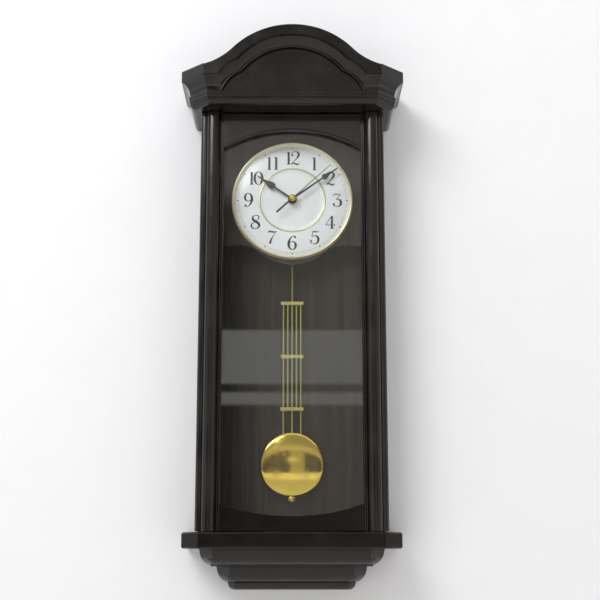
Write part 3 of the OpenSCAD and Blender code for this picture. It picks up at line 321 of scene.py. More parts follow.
abs_black = moulded("abs_black_moulded", "#151515", "#1c1c1b", 0.45)
acetal_white = moulded("acetal_white_gear", "#d8d6cd", "#cbc8bd", 0.40)
hand_enamel = moulded("hand_black_enamel", "#0c0c0d", "#141415", 0.30, grain=0.3, depth=0.006)
numeral_ink = moulded("dial_ink_dark", "#161b1f", "#1e2327", 0.5, grain=0.3, depth=0.004)
track_ink = moulded("dial_ink_grey", "#7c868d", "#879198", 0.5, grain=0.3, depth=0.004)
dial_enamel = moulded("dial_white_enamel", "#e2e5ea", "#dde0e5", 0.20, grain=0.8, depth=0.002)
cell_sleeve = moulded("cell_sleeve_printed", "#3c4d40", "#34443a", 0.28, grain=0.4, depth=0.004)
board_resin = moulded("board_green_resin", "#2d5a38", "#244b2e", 0.35, depth=0.01)


def window_glass():
    """Float glass: clear, with a slight green body and no tint in its shadow."""
    finish, tree, _ = new_finish("float_glass_clear")
    pane = add(
        tree,
        "ShaderNodeBsdfPrincipled",
        {"Base Color": "#fcfdfc", "Roughness": 0.0, "IOR": 1.5, "Transmission Weight": 1.0},
    )
    clear = add(tree, "ShaderNodeBsdfTransparent", {"Color": "#f5f6f5"})
    shadow = add(tree, "ShaderNodeLightPath").outputs["Is Shadow Ray"]
    mixed = add(tree, "ShaderNodeMixShader", {0: shadow, 1: pane, 2: clear})
    add(tree, "ShaderNodeOutputMaterial", {"Surface": mixed})
    return finish


float_glass = window_glass()


# Pieces in wood


WELD = 2e-6  # metres under which two points of the solid's mesh are one
FLAT = 0.5  # degrees under which two faces are one
CORNER = 38  # degrees that two faces turn at a corner that gets rubbed
CREASE = 50  # degrees that they turn where the shading stays sharp


def flattened(mesh):
    """The mesh with normals weighted by face size, so that eased edges leave the flats flat."""
    mesh.shade_smooth()
    mesh.set_sharp_from_angle(angle=radians(CREASE))
    bench = bpy.data.objects.new("bench", mesh)
    scene.collection.objects.link(bench)
    weigh = bench.modifiers.new("weigh", "WEIGHTED_NORMAL")
    weigh.keep_sharp = True
    graph = bpy.context.evaluated_depsgraph_get()
    graph.update()
    done = bpy.data.meshes.new_from_object(bench.evaluated_get(graph))
    bpy.data.objects.remove(bench)
    return done


def eased(name, finish, edge=0.6, ending="wood"):
    """A node's solid with its outer corners rubbed round by edge millimetres."""
    form = bmesh.new()
    form.from_mesh(nodes[name].data)
    bmesh.ops.remove_doubles(form, verts=form.verts, dist=WELD)
    bmesh.ops.dissolve_limit(
        form, angle_limit=radians(FLAT), verts=form.verts, edges=form.edges
    )
    rub = form.faces.layers.float.new("eased")
    corners = [
        e
        for e in form.edges
        if len(e.link_faces) == 2 and e.calc_face_angle_signed(0) > radians(CORNER)
    ]
    if corners and edge:
        made = bmesh.ops.bevel(
            form,
            geom=corners,
            offset=edge * MM,
            offset_type="OFFSET",
            segments=2,
            profile=0.5,
            affect="EDGES",
            clamp_overlap=True,
            loop_slide=True,
        )
        for face in made["faces"]:
            face[rub] = 1.0
    mesh = bpy.data.meshes.new(name)
    form.to_mesh(mesh)
    form.free()
    mesh.materials.append(finish)
    piece = bpy.data.objects.new(f"{name}_{ending}", flattened(mesh))
    scene.collection.objects.link(piece)
    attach(piece, nodes[name]["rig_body"])
    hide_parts(name)


# The wood and the boards, by the way their grain runs and by their shine.
for name in ("side_panel_left", "side_panel_right", "door_stile_left", "door_stile_right"):
    eased(name, wood_up)
for name in (
    "cornice_front",
    "cornice_corners",
    "pediment_face",
    "pediment_moulding",
    "pediment_panel",
    "crown_lid",
    "crown_soffit",
    "base_tier_upper",
    "base_tier_lower",
    "base_foot",
    "hanging_rail",
):
    eased(name, wood_level)
for name in ("base_slab", "door_bottom_rail"):
    eased(name, wood_flat)
eased("door_top_rail", wood_rail)
eased("cornice_sides", wood_back)
eased("back_panel", panel_veneer)
eased("glazing_beads", wood_up, edge=0.4)
eased("board_cleats", panel_veneer)
eased("dial_board", board_veneer, edge=0.5)


# Dial


def middle(name):
    """A node's middle: across, depth from the wall and height over the hook, in millimetres."""
    low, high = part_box(name)
    return [(a + b) / 2 / MM * sign for a, b, sign in zip(low, high, (1, -1, 1))]


AXIS = middle("dial_bezel")[2]  # height of the hands' axis over the hook, in millimetres
BOARD = -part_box("dial_board")[0][1] / MM  # depth of the board's face from the wall
SWING = middle("pendulum_bars")[1]  # depth of the pendulum's middle
BOB = middle("pendulum_bob")[2] - 1.6  # height of the bob's middle, a little lower than its solid
RING = 41.0  # radius of the raised ring on the dial
OPENING = 71.3  # radius of the dial inside the bezel
HOURS = 55.3  # radius on which the numerals stand
DIGIT = 8.7  # distance between the middles of two digits
INK = 1.18  # how much broader the strokes print than they are drawn
BORE = 4.1  # radius of the dial's hole
FINE = 192  # steps round the dial, the bezel, the ring and the bob


def meshed(form, name, finish, sharp=0):
    """A bench form as a mesh: faces outwards, one finish, and smooth between sharp edges."""
    bmesh.ops.recalc_face_normals(form, faces=form.faces)
    mesh = bpy.data.meshes.new(name)
    form.to_mesh(mesh)
    form.free()
    mesh.materials.append(finish)
    if sharp:
        mesh.shade_smooth()
        mesh.set_sharp_from_angle(angle=radians(sharp))
    return mesh


def turned(name, outline, high, finish, steps, sharp=32, upright=False):
    """A closed outline of (radius, depth) pairs turned about the level axis at a height, or of
    (radius, rise over that height) pairs turned about the pendulum's upright middle."""
    form = bmesh.new()
    rings = []
    for radius, along in outline:
        count = steps if radius else 1
        ring = []
        for i in range(count):
            x, y = radius * cos(2 * pi * i / count), radius * sin(2 * pi * i / count)
            spot = (x, y - SWING, high + along) if upright else (x, -along, high + y)
            ring.append(form.verts.new(Vector(spot) * MM))
        rings.append(ring)
    for k, ring in enumerate(rings):
        after = rings[(k + 1) % len(rings)]
        if len(ring) == len(after) == 1:
            continue
        for i in range(steps):
            loop = [ring[i % len(ring)], ring[(i + 1) % len(ring)]]
            loop += [after[(i + 1) % len(after)], after[i % len(after)]]
            form.faces.new(list(dict.fromkeys(loop)))
    return meshed(form, name, finish, sharp)


def mounted(mesh, name, body, slot, *replaced):
    """A finished mesh as a piece that rides on its body."""
    piece = bpy.data.objects.new(name, mesh)
    scene.collection.objects.link(piece)
    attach(piece, body)
    if replaced:
        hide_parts(*replaced)


FACE = 39.6  # depth of the dial's dished centre
DISH, DISH_R, DISH_RUN = 0.7, 35.5, 6  # its rise, where that starts, and over how long a way
ROLL, ROLL_R = 0.006, 50  # how fast the dial's rim rolls off, and from which radius


def dial_front(radius):
    """Depth of the dial's face: a dished centre inside the ring, and a rim that rolls off."""
    rise = min(max((radius - DISH_R) / DISH_RUN, 0), 1)
    return FACE + DISH * rise * rise * (3 - 2 * rise) - ROLL * max(radius - ROLL_R, 0) ** 2


radii = [BORE, 20, 30, *(34 + 0.5 * i for i in range(74)), OPENING]
dial = [(r, dial_front(r)) for r in radii] + [(OPENING, BOARD), (BORE, BOARD)]
mounted(
    turned("dial", dial, AXIS, dial_enamel, FINE),
    "dial_enamelled", "case", "dial_white", "dial_plate",
)
# The bezel is spun from sheet: a flared foot, a rolled crown, and a stepped slope to the dial.
bezel = [(76.0, BOARD), (75.9, 33.5), (75.6, 38.5), (75.4, 40.8), (75.1, 41.7), (74.6, 42.2)]
bezel += [(74.0, 42.3), (73.5, 42.0), (73.1, 41.3), (72.8, 40.6), (72.5, 40.35), (72.2, 40.25)]
bezel += [(71.9, 39.8), (71.65, 39.0), (71.5, 38.2), (71.35, 37.7), (OPENING, BOARD)]
mounted(
    turned("bezel", bezel, AXIS, brass_pale, FINE, sharp=60),
    "bezel_spun", "case", "brass", "dial_bezel",
)
# The ring is half an oval in section, with its foot a little way in the enamel.
RING_HALF, RING_RISE, RING_FOOT = 1.2, 1.0, dial_front(RING) - 0.35
ring = [
    (RING + RING_HALF * cos(radians(a)), RING_FOOT + RING_RISE * sin(radians(a)))
    for a in range(0, 181, 15)
]
mounted(
    turned("ring", ring, AXIS, brass_ring, FINE, sharp=60),
    "dial_ring_half_round", "case", "brass", "dial_ring",
)


def smooth_path(points, steps=8):
    """Catmull-Rom through (across, up, half width) points."""
    if len(points) == 2:
        first, last = points
        return [
            tuple(p + (q - p) * i / steps for p, q in zip(first, last)) for i in range(steps + 1)
        ]
    ends = [points[0], *points, points[-1]]
    path = []
    for a, b, c, d in zip(ends, ends[1:], ends[2:], ends[3:]):
        for i in range(steps):
            t = i / steps
            path.append(
                tuple(
                    0.5
                    * (
                        2 * q
                        + (r - p) * t
                        + (2 * p - 5 * q + 4 * r - s) * t * t
                        + (3 * q - p - 3 * r + s) * t**3
                    )
                    for p, q, r, s in zip(a, b, c, d)
                )
            )
    return [*path, points[-1]]


THINNEST = 0.02  # millimetres that half a strip's width keeps at its tips


def ribbon(form, path, front, back):
    """A closed strip along (across, up, half width) points in millimetres from the dial's
    centre; front and back give its depths from a radius."""
    rows = []
    for i, (x, z, half) in enumerate(path):
        x0, z0 = path[max(i - 1, 0)][:2]
        x1, z1 = path[min(i + 1, len(path) - 1)][:2]
        run = sqrt((x1 - x0) ** 2 + (z1 - z0) ** 2) or 1
        nx, nz = (z1 - z0) / run, (x0 - x1) / run
        half = max(half, THINNEST)
        row = []
        for side, depth in ((1, front), (-1, front), (-1, back), (1, back)):
            px, pz = x + side * half * nx, z + side * half * nz
            row.append(
                form.verts.new((px * MM, -depth(sqrt(px * px + pz * pz)) * MM, (AXIS + pz) * MM))
            )
        rows.append(row)
    for a, b in zip(rows, rows[1:]):
        for k in range(4):
            form.faces.new((a[k], a[(k + 1) % 4], b[(k + 1) % 4], b[k]))
    form.faces.new(rows[0])
    form.faces.new(rows[-1][::-1])


def dot(x, z, radius):
    """A round spot as a path whose width swells and shrinks."""
    return [
        (x - radius * cos(a), z, max(radius * sin(a), 0.001))
        for a in (pi * i / 12 for i in range(13))
    ]


# Strokes of a high-contrast book face: (across, up, half width) in shares of the height.
hair = 0.022
figures = {
    "0": [
        [
            (0.27 * sin(a), 0.5 + 0.475 * cos(a), 0.02 + 0.055 * abs(sin(a)) ** 1.6)
            for a in (2 * pi * i / 24 for i in range(25))
        ]
    ],
    "1": [
        [(0.01, 0.0, 0.070), (0.01, 0.975, 0.070)],
        [(-0.13, 0.945, hair), (0.0, 0.965, hair + 0.01)],
        [(-0.13, 0.014, hair), (0.15, 0.014, hair)],
    ],
    "2": [
        [
            (-0.27, 0.71, 0.03), (-0.25, 0.85, 0.022), (-0.13, 0.97, 0.022), (0.0, 0.995, 0.025),
            (0.15, 0.95, 0.045), (0.235, 0.80, 0.068), (0.19, 0.64, 0.06), (0.06, 0.44, 0.032),
            (-0.12, 0.24, 0.02), (-0.28, 0.07, hair),
        ],
        [
            (-0.30, 0.03, 0.02), (-0.20, 0.095, 0.035), (-0.08, 0.10, 0.045), (0.07, 0.045, 0.052),
            (0.18, 0.03, 0.045), (0.26, 0.09, 0.022), (0.295, 0.16, 0.012),
        ],
        dot(-0.225, 0.71, 0.07),
    ],
    "3": [
        [
            (-0.27, 0.80, 0.012), (-0.24, 0.90, 0.022), (-0.15, 0.955, 0.032),
            (0.04, 0.965, 0.030), (0.28, 0.955, 0.020),
        ],
        [(0.27, 0.95, hair), (0.10, 0.76, hair), (-0.05, 0.565, hair)],
        [
            (-0.05, 0.565, hair), (0.10, 0.575, 0.03), (0.25, 0.50, 0.06), (0.30, 0.33, 0.075),
            (0.25, 0.14, 0.06), (0.08, 0.025, 0.026), (-0.12, 0.025, 0.02), (-0.25, 0.09, 0.028),
            (-0.28, 0.18, 0.03),
        ],
        dot(-0.23, 0.20, 0.07),
    ],
    "4": [
        [(0.16, 0.0, 0.072), (0.16, 0.985, 0.066)],
        [(0.14, 0.985, hair), (-0.33, 0.275, hair)],
        [(-0.34, 0.27, hair), (0.36, 0.27, hair)],
        [(0.355, 0.21, hair), (0.375, 0.36, hair)],
        [(0.0, 0.014, hair), (0.32, 0.014, hair)],
    ],
    "5": [
        [
            (-0.16, 0.93, 0.02), (-0.06, 0.955, 0.042), (0.09, 0.95, 0.038), (0.22, 0.94, 0.03),
            (0.33, 0.975, 0.012),
        ],
        [(-0.135, 0.95, hair), (-0.165, 0.74, hair), (-0.195, 0.53, hair)],
        [
            (-0.195, 0.53, hair), (-0.07, 0.62, 0.02), (0.07, 0.64, 0.032), (0.22, 0.56, 0.062),
            (0.295, 0.36, 0.075), (0.22, 0.13, 0.055), (0.03, 0.02, 0.025), (-0.15, 0.025, 0.02),
            (-0.27, 0.11, 0.025), (-0.31, 0.22, 0.03),
        ],
        dot(-0.25, 0.25, 0.07),
    ],
    "6": [
        [
            (0.24, 0.92, 0.03), (0.15, 0.99, 0.02), (0.01, 0.96, 0.022), (-0.14, 0.80, 0.045),
            (-0.245, 0.55, 0.072), (-0.25, 0.31, 0.076), (-0.17, 0.11, 0.052), (0.0, 0.012, 0.024),
            (0.16, 0.08, 0.046), (0.24, 0.29, 0.072), (0.18, 0.49, 0.05), (0.03, 0.585, 0.024),
            (-0.12, 0.54, hair), (-0.22, 0.43, hair),
        ],
        dot(0.19, 0.90, 0.07),
    ],
    "7": [
        [
            (-0.33, 0.83, 0.012), (-0.30, 0.92, 0.03), (-0.21, 0.955, 0.048), (-0.04, 0.92, 0.05),
            (0.14, 0.90, 0.045), (0.30, 0.95, 0.02), (0.34, 0.985, 0.012),
        ],
        [
            (0.32, 0.96, 0.014), (0.17, 0.72, 0.018), (-0.01, 0.45, 0.034), (-0.12, 0.22, 0.062),
            (-0.175, 0.0, 0.078),
        ],
    ],
    "8": [
        [
            (0.05, 0.985, 0.022), (-0.12, 0.93, 0.032), (-0.205, 0.80, 0.055), (-0.15, 0.65, 0.072),
            (0.02, 0.53, 0.078), (0.19, 0.41, 0.078), (0.265, 0.25, 0.068), (0.19, 0.09, 0.042),
            (0.0, 0.014, 0.022), (-0.20, 0.07, 0.036), (-0.29, 0.22, 0.05), (-0.24, 0.38, 0.032),
            (-0.08, 0.50, 0.018), (0.11, 0.62, 0.018), (0.235, 0.76, 0.032), (0.22, 0.90, 0.036),
            (0.13, 0.97, 0.026), (0.05, 0.985, 0.022),
        ]
    ],
}
# Heights in millimetres, and how far the hand-drawn places stray from an even circle.
talls = dict(zip("0123456789", (17.7, 17.0, 17.8, 16.9, 16.2, 16.6, 17.7, 16.2, 17.8, 17.7)))
nudges = {
    2: (0.3, 0.8), 3: (0.7, -0.1), 4: (-0.9, -0.9), 5: (0, -0.7), 6: (0, 0.1), 7: (2.7, -0.2),
    8: (1.8, -0.9), 10: (0.8, 1.0), 11: (2.7, 0.5), 12: (-0.5, 0),
}
figures["9"] = [[(-x, 1 - z, half) for x, z, half in path] for path in figures["6"]]


PRINT, ROOT = 0.05, 0.15  # how far the ink stands off the enamel, and how far it goes in


def printed_numerals():
    """The hours, upright on a circle, printed thick enough to stand off the enamel."""
    form = bmesh.new()
    layer = 0
    for hour in range(1, 13):
        turn = 2 * pi * hour / 12
        digits = str(hour)
        nudge = nudges.get(hour, (0, 0))
        for k, digit in enumerate(digits):
            tall = talls[digit]
            lead = HOURS * sin(turn) + nudge[0] + (k - (len(digits) - 1) / 2) * DIGIT
            low = HOURS * cos(turn) + nudge[1] - tall / 2
            for path in figures[digit]:
                # Strokes that cross lie at their own levels, so that none flickers.
                layer += 1
                lift = PRINT + 0.004 * (layer % 6)
                placed = [
                    (lead + x * tall, low + z * tall, INK * half * tall)
                    for x, z, half in smooth_path(path)
                ]
                ribbon(
                    form, placed, lambda r: dial_front(r) + lift, lambda r: dial_front(r) - ROOT
                )
    return meshed(form, "numerals", numeral_ink)


mounted(printed_numerals(), "dial_numerals", "case", "hand_black")


def grown(name, build, finish, line=(), **sizes):
    """Grows a plain mesh from a Geometry Nodes tree whose named inputs are the sizes, in metres,
    and a line of points where it follows one."""
    tree = bpy.data.node_groups.new(name, "GeometryNodeTree")
    tree.interface.new_socket("Geometry", in_out="INPUT", socket_type="NodeSocketGeometry")
    tree.interface.new_socket("Geometry", in_out="OUTPUT", socket_type="NodeSocketGeometry")
    kinds = {int: "NodeSocketInt", float: "NodeSocketFloat"}
    sockets = {
        key: tree.interface.new_socket(key, in_out="INPUT", socket_type=kinds[type(value)])
        for key, value in sizes.items()
    }
    given = add(tree, "NodeGroupInput").outputs
    whole = add(tree, "GeometryNodeRealizeInstances", {0: build(tree, given)})
    add(
        tree,
        "NodeGroupOutput",
        {0: add(tree, "GeometryNodeSetMaterial", {"Geometry": whole, "Material": finish})},
    )
    base = bpy.data.meshes.new(name)
    base.from_pydata(line, [(i, i + 1) for i in range(len(line) - 1)], [])
    bench = bpy.data.objects.new(name, base)
    scene.collection.objects.link(bench)
    grow = bench.modifiers.new(name, "NODES")
    grow.node_group = tree
    for key, value in sizes.items():
        grow[sockets[key].identifier] = value
    graph = bpy.context.evaluated_depsgraph_get()
    graph.update()
    mesh = bpy.data.meshes.new_from_object(bench.evaluated_get(graph))
    mesh.name = name
    bpy.data.objects.remove(bench)
    return mesh


def on_dial(tree, geometry, depth, height):
    """Stands a flat geometry up in front of the wall, at a depth and a height."""
    back = add(tree, "ShaderNodeMath", {0: depth, 1: -1.0}, **TIMES)
    return add(
        tree,
        "GeometryNodeTransform",
        {
            "Geometry": geometry,
            "Translation": add(tree, "ShaderNodeCombineXYZ", {"Y": back, "Z": height}),
        },
    ).outputs[0]


UPRIGHT = (pi / 2, 0, 0)  # turns a circle that lies flat to face the room


def marks_round(tree, given, count, length, width):
    """Small raised bars set radially round a circle, tipped to the slope of the dial."""
    circle = add(
        tree, "GeometryNodeMeshCircle", {"Vertices": given[count], "Radius": given["Radius"]}
    )
    circle = add(tree, "GeometryNodeTransform", {"Geometry": circle, "Rotation": UPRIGHT})
    bar = add(
        tree,
        "GeometryNodeMeshCube",
        {
            "Size": add(
                tree,
                "ShaderNodeCombineXYZ",
                {"X": given[length], "Y": given["Thickness"], "Z": given[width]},
            )
        },
    )
    tip = add(tree, "ShaderNodeCombineXYZ", {"Z": given["Slope"]})
    bar = add(tree, "GeometryNodeTransform", {"Geometry": bar, "Rotation": tip})
    step = add(tree, "ShaderNodeMath", {0: -2 * pi, 1: given[count]}, operation="DIVIDE")
    index = add(tree, "GeometryNodeInputIndex")
    turn = add(tree, "ShaderNodeMath", {0: index, 1: step}, **TIMES)
    return add(
        tree,
        "GeometryNodeInstanceOnPoints",
        {
            "Points": circle,
            "Instance": bar,
            "Rotation": add(tree, "ShaderNodeCombineXYZ", {"Y": turn}),
        },
    ).outputs[0]


def fine_circle(tree, given, radius):
    """A hair-thin printed circle."""
    path = add(
        tree, "GeometryNodeCurvePrimitiveCircle", {"Resolution": 180, "Radius": given[radius]}
    )
    wire = add(
        tree, "GeometryNodeCurvePrimitiveCircle", {"Resolution": 6, "Radius": given["Line"]}
    )
    line = add(tree, "GeometryNodeCurveToMesh", {"Curve": path, "Profile Curve": wire})
    line = add(tree, "GeometryNodeTransform", {"Geometry": line, "Rotation": UPRIGHT})
    return line.outputs[0]


def hour_marks(tree, given):
    """Twelve short bars on the minute track."""
    bars = marks_round(tree, given, "Hours", "Hour length", "Hour width")
    return on_dial(tree, bars, given["Depth"], given["Height"])


def minute_track(tree, given):
    """Sixty dots between two fine circles."""
    joined = add(tree, "GeometryNodeJoinGeometry")
    for part, depth in (
        (marks_round(tree, given, "Minutes", "Dot", "Dot"), "Depth"),
        (fine_circle(tree, given, "Inner"), "Inner depth"),
        (fine_circle(tree, given, "Outer"), "Outer depth"),
    ):
        part = on_dial(tree, part, given[depth], given["Height"])
        tree.links.new(part, joined.inputs[0])
    return joined.outputs[0]


TRACK, TRACK_IN, TRACK_OUT = 68.7, 67.5, 69.9  # radius of the dots and of the two circles
track = dict(
    Radius=TRACK * MM,
    Slope=2 * ROLL * (TRACK - ROLL_R),
    Thickness=0.2 * MM,
    Depth=dial_front(TRACK) * MM,
    Height=AXIS * MM,
)
mounted(
    grown(
        "hour_marks",
        hour_marks,
        numeral_ink,
        Hours=12,
        **{"Hour length": 2.4 * MM, "Hour width": 1.1 * MM},
        **track,
    ),
    "dial_hour_marks", "case", "hand_black",
)
mounted(
    grown(
        "minute_track",
        minute_track,
        track_ink,
        Minutes=60,
        Dot=0.75 * MM,
        Line=0.17 * MM,
        Inner=TRACK_IN * MM,
        Outer=TRACK_OUT * MM,
        **{"Inner depth": dial_front(TRACK_IN) * MM, "Outer depth": dial_front(TRACK_OUT) * MM},
        **track,
    ),
    "dial_minute_track", "case", "hand_black",
)


# Hands


SHEET, HUB_LIP = 0.4, 0.05  # a hand's thickness, and how far its hub stands off both faces
PUNCHED, FOLD = 0.07, 0.9  # flat on a hand's edges, where the faces turn by so many radians
BELLY_END = 112  # degrees round a spade's belly where its spike takes over


def blade(name, stations, turn, front, bore, hub):
    """A flat hand from (distance, half width) stations, with a pierced round hub."""
    form = bmesh.new()
    across, up = sin(radians(turn)), cos(radians(turn))
    back = front - SHEET
    ribbon(
        form,
        [(u * across, u * up, half) for u, half in stations],
        lambda r: front,
        lambda r: back,
    )
    if hub:
        ring = [(bore, back - HUB_LIP), (hub, back - HUB_LIP)]
        ring += [(hub, front + HUB_LIP), (bore, front + HUB_LIP)]
        form.from_mesh(turned("hub", ring, AXIS, hand_enamel, 48))
    corners = [e for e in form.edges if len(e.link_faces) == 2 and e.calc_face_angle(0) > FOLD]
    bmesh.ops.bevel(
        form, geom=corners, offset=PUNCHED * MM, segments=1, affect="EDGES", clamp_overlap=True
    )
    return meshed(form, name, hand_enamel, 25)


def spade(start, shank, belly_at, belly, taper):
    """Stations of a spade hand: a waisted shank, a round belly, and a long tapering spike."""
    first = asin(shank[-1] / belly)
    swell = [first + (radians(BELLY_END) - first) * i / 20 for i in range(21)]
    lead = belly_at - belly * cos(first) - 0.1
    run = [
        (start + (lead - start) * i / (len(shank) - 1), half) for i, half in enumerate(shank)
    ]
    return (
        run
        + [(belly_at - belly * cos(a), belly * sin(a)) for a in swell]
        + [point[::2] for point in smooth_path([(u, 0, half) for u, half in taper], 5)]
    )


spike = [(34.2, 4.0), (37.2, 2.95), (39.8, 2.1), (42.5, 1.5), (46, 1.15), (51, 0.8), (54, 0.25)]
hour_stations = spade(
    start=3.4, shank=(1.35, 1.25, 1.12, 1.05), belly_at=31.3, belly=4.6, taper=spike
)
spike = [(52.2, 3.15), (54.2, 2.2), (56.4, 1.55), (59.5, 1.15), (64, 0.9), (68.2, 0.7), (70, 0.3)]
minute_stations = spade(
    start=3.0, shank=(1.4, 1.25, 1.1, 1.0), belly_at=49.7, belly=3.75, taper=spike
)
second_stations = [(-27, 0.15), (-26.9, 0.7), (-26.5, 1.05), (-26, 1.2), (-4.2, 1.15), (-4, 1.1)]
second_stations += [(4, 0.5), (30, 0.45), (65, 0.38)]
mounted(
    blade("hour_hand", hour_stations, turn=304.6, front=44.6, bore=2.45, hub=5.6),
    "hour_hand_spade", "hours", "hand_black", "hour_hand",
)
mounted(
    blade("minute_hand", minute_stations, turn=54.8, front=47.0, bore=1.55, hub=5.0),
    "minute_hand_spade", "minutes", "hand_black", "minute_hand",
)
mounted(
    blade("second_hand", second_stations, turn=47.5, front=48.7, bore=0, hub=0),
    "second_hand_blade", "seconds", "hand_black", "second_hand",
)
# A ball on a short neck caps the second hand's tube.
BALL, BALL_AT = 4.35, 50.9
cap = [(0, 48.0), (3.5, 48.0), (3.5, 49.0)]
cap += [(BALL * cos(radians(a)), BALL_AT + BALL * sin(radians(a))) for a in range(-35, 90, 5)]
mounted(
    turned("cap", [*cap, (0, 55.25)], AXIS, brass_polished, 64, sharp=50),
    "second_hand_cap", "seconds", "brass",
)


# Pendulum

# The bob's front is a shallow dome that turns over a softer shoulder into a tight rolled edge:
# the radii of these three, the radius of the rim, and the depth of the front.
dome_r, shoulder_r, roll_r, rim, front = 165.0, 9.0, 2.4, 40.3, 28.6
shoulder_a = radians(40)
shoulder_x = rim - roll_r + (roll_r - shoulder_r) * sin(shoulder_a)
dome_a = asin(shoulder_x / (dome_r - shoulder_r))
shoulder_y = front - dome_r + (dome_r - shoulder_r) * cos(dome_a)
roll_y = shoulder_y + (shoulder_r - roll_r) * cos(shoulder_a)
bob = [(0, 17.6), (26.4, 17.6), (27.5, 17.9), (28.1, 18.8), (28.1, 20.4), (38.6, 20.4)]
for x, y, r, start, end, steps in (
    (rim - roll_r, roll_y, roll_r, radians(110), shoulder_a, 10),
    (shoulder_x, shoulder_y, shoulder_r, shoulder_a, dome_a, 8),
    (0, front - dome_r, dome_r, dome_a, 0, 28),
):
    for i in range(steps):
        a = start + (end - start) * i / steps
        bob.append((x + r * sin(a), y + r * cos(a)))
bob.append((0, front))
mounted(
    turned("bob", bob, BOB, brass_polished, FINE, sharp=40),
    "pendulum_bob_spun", "pendulum", "brass", "pendulum_bob",
)
eased("pendulum_rods", brass_drawn, edge=0, ending="brass")
eased("pendulum_bars", brass_bar, edge=0.35, ending="brass")
eased("fixing_nut", brass_pale, edge=0.35, ending="brass")
# A spool with a broad lower flange, screwed on the middle rod under the bob, a little lower than
# its solid.
nut = [(1.0, -1.4), (1.9, -1.4), (2.3, -1.1), (2.45, -0.2), (4.3, 0.0), (4.8, 0.4), (4.8, 1.1)]
nut += [(4.3, 1.5), (2.9, 1.8), (2.6, 2.3), (3.0, 2.7), (3.9, 3.0), (3.9, 3.3), (3.4, 3.5)]
nut += [(1.0, 3.5)]
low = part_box("rating_nut")[0][2] / MM - 0.8
mounted(
    turned("nut", nut, low, brass_turned, 48, sharp=40, upright=True),
    "rating_nut_turned", "pendulum", "brass", "rating_nut",
)


# Trim: small beads along the pediment's hollow and the door's arch, and a stepped bed
# moulding between the hollow and the round moulding of the crown.


def swept_bead(tree, given):
    """A round wire along the bench's own line of points."""
    line = add(tree, "GeometryNodeMeshToCurve", {0: given["Geometry"]})
    wire = add(
        tree, "GeometryNodeCurvePrimitiveCircle", {"Resolution": 10, "Radius": given["Radius"]}
    )
    return add(
        tree, "GeometryNodeCurveToMesh", {"Curve": line, "Profile Curve": wire, "Fill Caps": True}
    ).outputs[0]


def arch_line(node, depth, floor, ceiling, aside, proud):
    """The lower edge of an arched front at a depth, from left to right between two heights, as
    points moved aside into the wood and proud of its face, all in millimetres."""
    edge = {
        (round(v.co.x / MM, 2), round(v.co.z / MM, 2))
        for v in nodes[node].data.vertices
        if abs(v.co.y / MM + depth) < 0.01 and floor < v.co.z / MM < ceiling
    }
    edge = sorted(edge)
    line = []
    for here, before, after in zip(edge, [edge[0], *edge], [*edge[1:], edge[-1]]):
        along = Vector((after[0] - before[0], after[1] - before[1])).normalized() * aside
        line.append(Vector((here[0] - along.y, -depth - proud, here[1] + along.x)) * MM)
    return line


hollow_lip = arch_line(
    "pediment_moulding", depth=101, floor=37, ceiling=200, aside=1.3, proud=0.3
)[1:-1]
mounted(
    grown("arch_bead", swept_bead, wood_level, line=hollow_lip, Radius=1.25 * MM),
    "pediment_arch_bead", "case", "dark_wood",
)
door_lip = arch_line("door_top_rail", depth=67, floor=-25.1, ceiling=0, aside=1.5, proud=0.1)
mounted(
    grown("door_bead", swept_bead, wood_level, line=door_lip, Radius=1.1 * MM),
    "door_arch_bead", "door", "dark_wood",
)


def bed_moulding(profile, half, depth, cut):
    """A closed (inset, height) profile led round the crown's front, its two cut corners and
    its sides, mitred at each fold."""
    form = bmesh.new()
    fold = half - cut
    rows = []
    for inset, high in profile:
        lean = inset * tan(radians(22.5))
        right = [
            (fold - lean, inset - depth), (half - inset, cut - depth + lean), (half - inset, -1)
        ]
        plan = [(-x, y) for x, y in reversed(right)] + right
        rows.append([form.verts.new(Vector((x, y, high)) * MM) for x, y in plan])
    for row, after in zip(rows, [*rows[1:], rows[0]]):
        for k in range(len(row) - 1):
            form.faces.new((row[k], row[k + 1], after[k + 1], after[k]))
    form.faces.new([row[0] for row in rows])
    form.faces.new([row[-1] for row in rows])
    return meshed(form, "bed_moulding", wood_level, 30)


bed = [(13, 37.4), (9.7, 37.4), (9.4, 37.1), (9.4, 34.9), (9.7, 34.4), (10.2, 34.2)]
bed += [(10.2, 30.6), (10.5, 30.1), (11.4, 29.9), (13, 29.9)]
mounted(
    bed_moulding(bed, half=138, depth=112, cut=29),
    "crown_bed_moulding", "case", "dark_wood",
)


# The nodes that keep their own mesh, by their finish.
for finish, slot, names in (
    (float_glass, "glass", ("door_glass",)),
    (cell_sleeve, "battery", ("battery",)),
    (board_resin, "circuit", ("circuit_board",)),
    (copper, "copper_wire", ("motor_coil", "pendulum_coil")),
    (
        abs_black,
        "black_plastic",
        ("catch_magnet", "movement_front", "movement_back", "pendulum_arm"),
    ),
    (
        steel_zinc,
        "steel",
        (
            "hanger_plate", "hanger_screws", "board_screws", "door_pins", "catch_plate",
            "battery_contacts", "motor_stator",
        ),
    ),
    (
        acetal_white,
        "light_plastic",
        (
            "middle_plate", "rotor", "intermediate_wheel", "second_wheel", "third_wheel",
            "centre_wheel", "minute_pipe", "motion_wheel", "hour_wheel", "setting_knob",
        ),
    ),
):
    for name in names:
        nodes[name].data.materials.clear()
        nodes[name].data.materials.append(finish)


# Stage and light


def sheet_of(name, corners, finish):
    """A flat stage surface."""
    mesh = bpy.data.meshes.new(name)
    mesh.from_pydata(corners, [], [range(len(corners))])
    mesh.materials.append(finish)
    made = bpy.data.objects.new(name, mesh)
    scene.collection.objects.link(made)


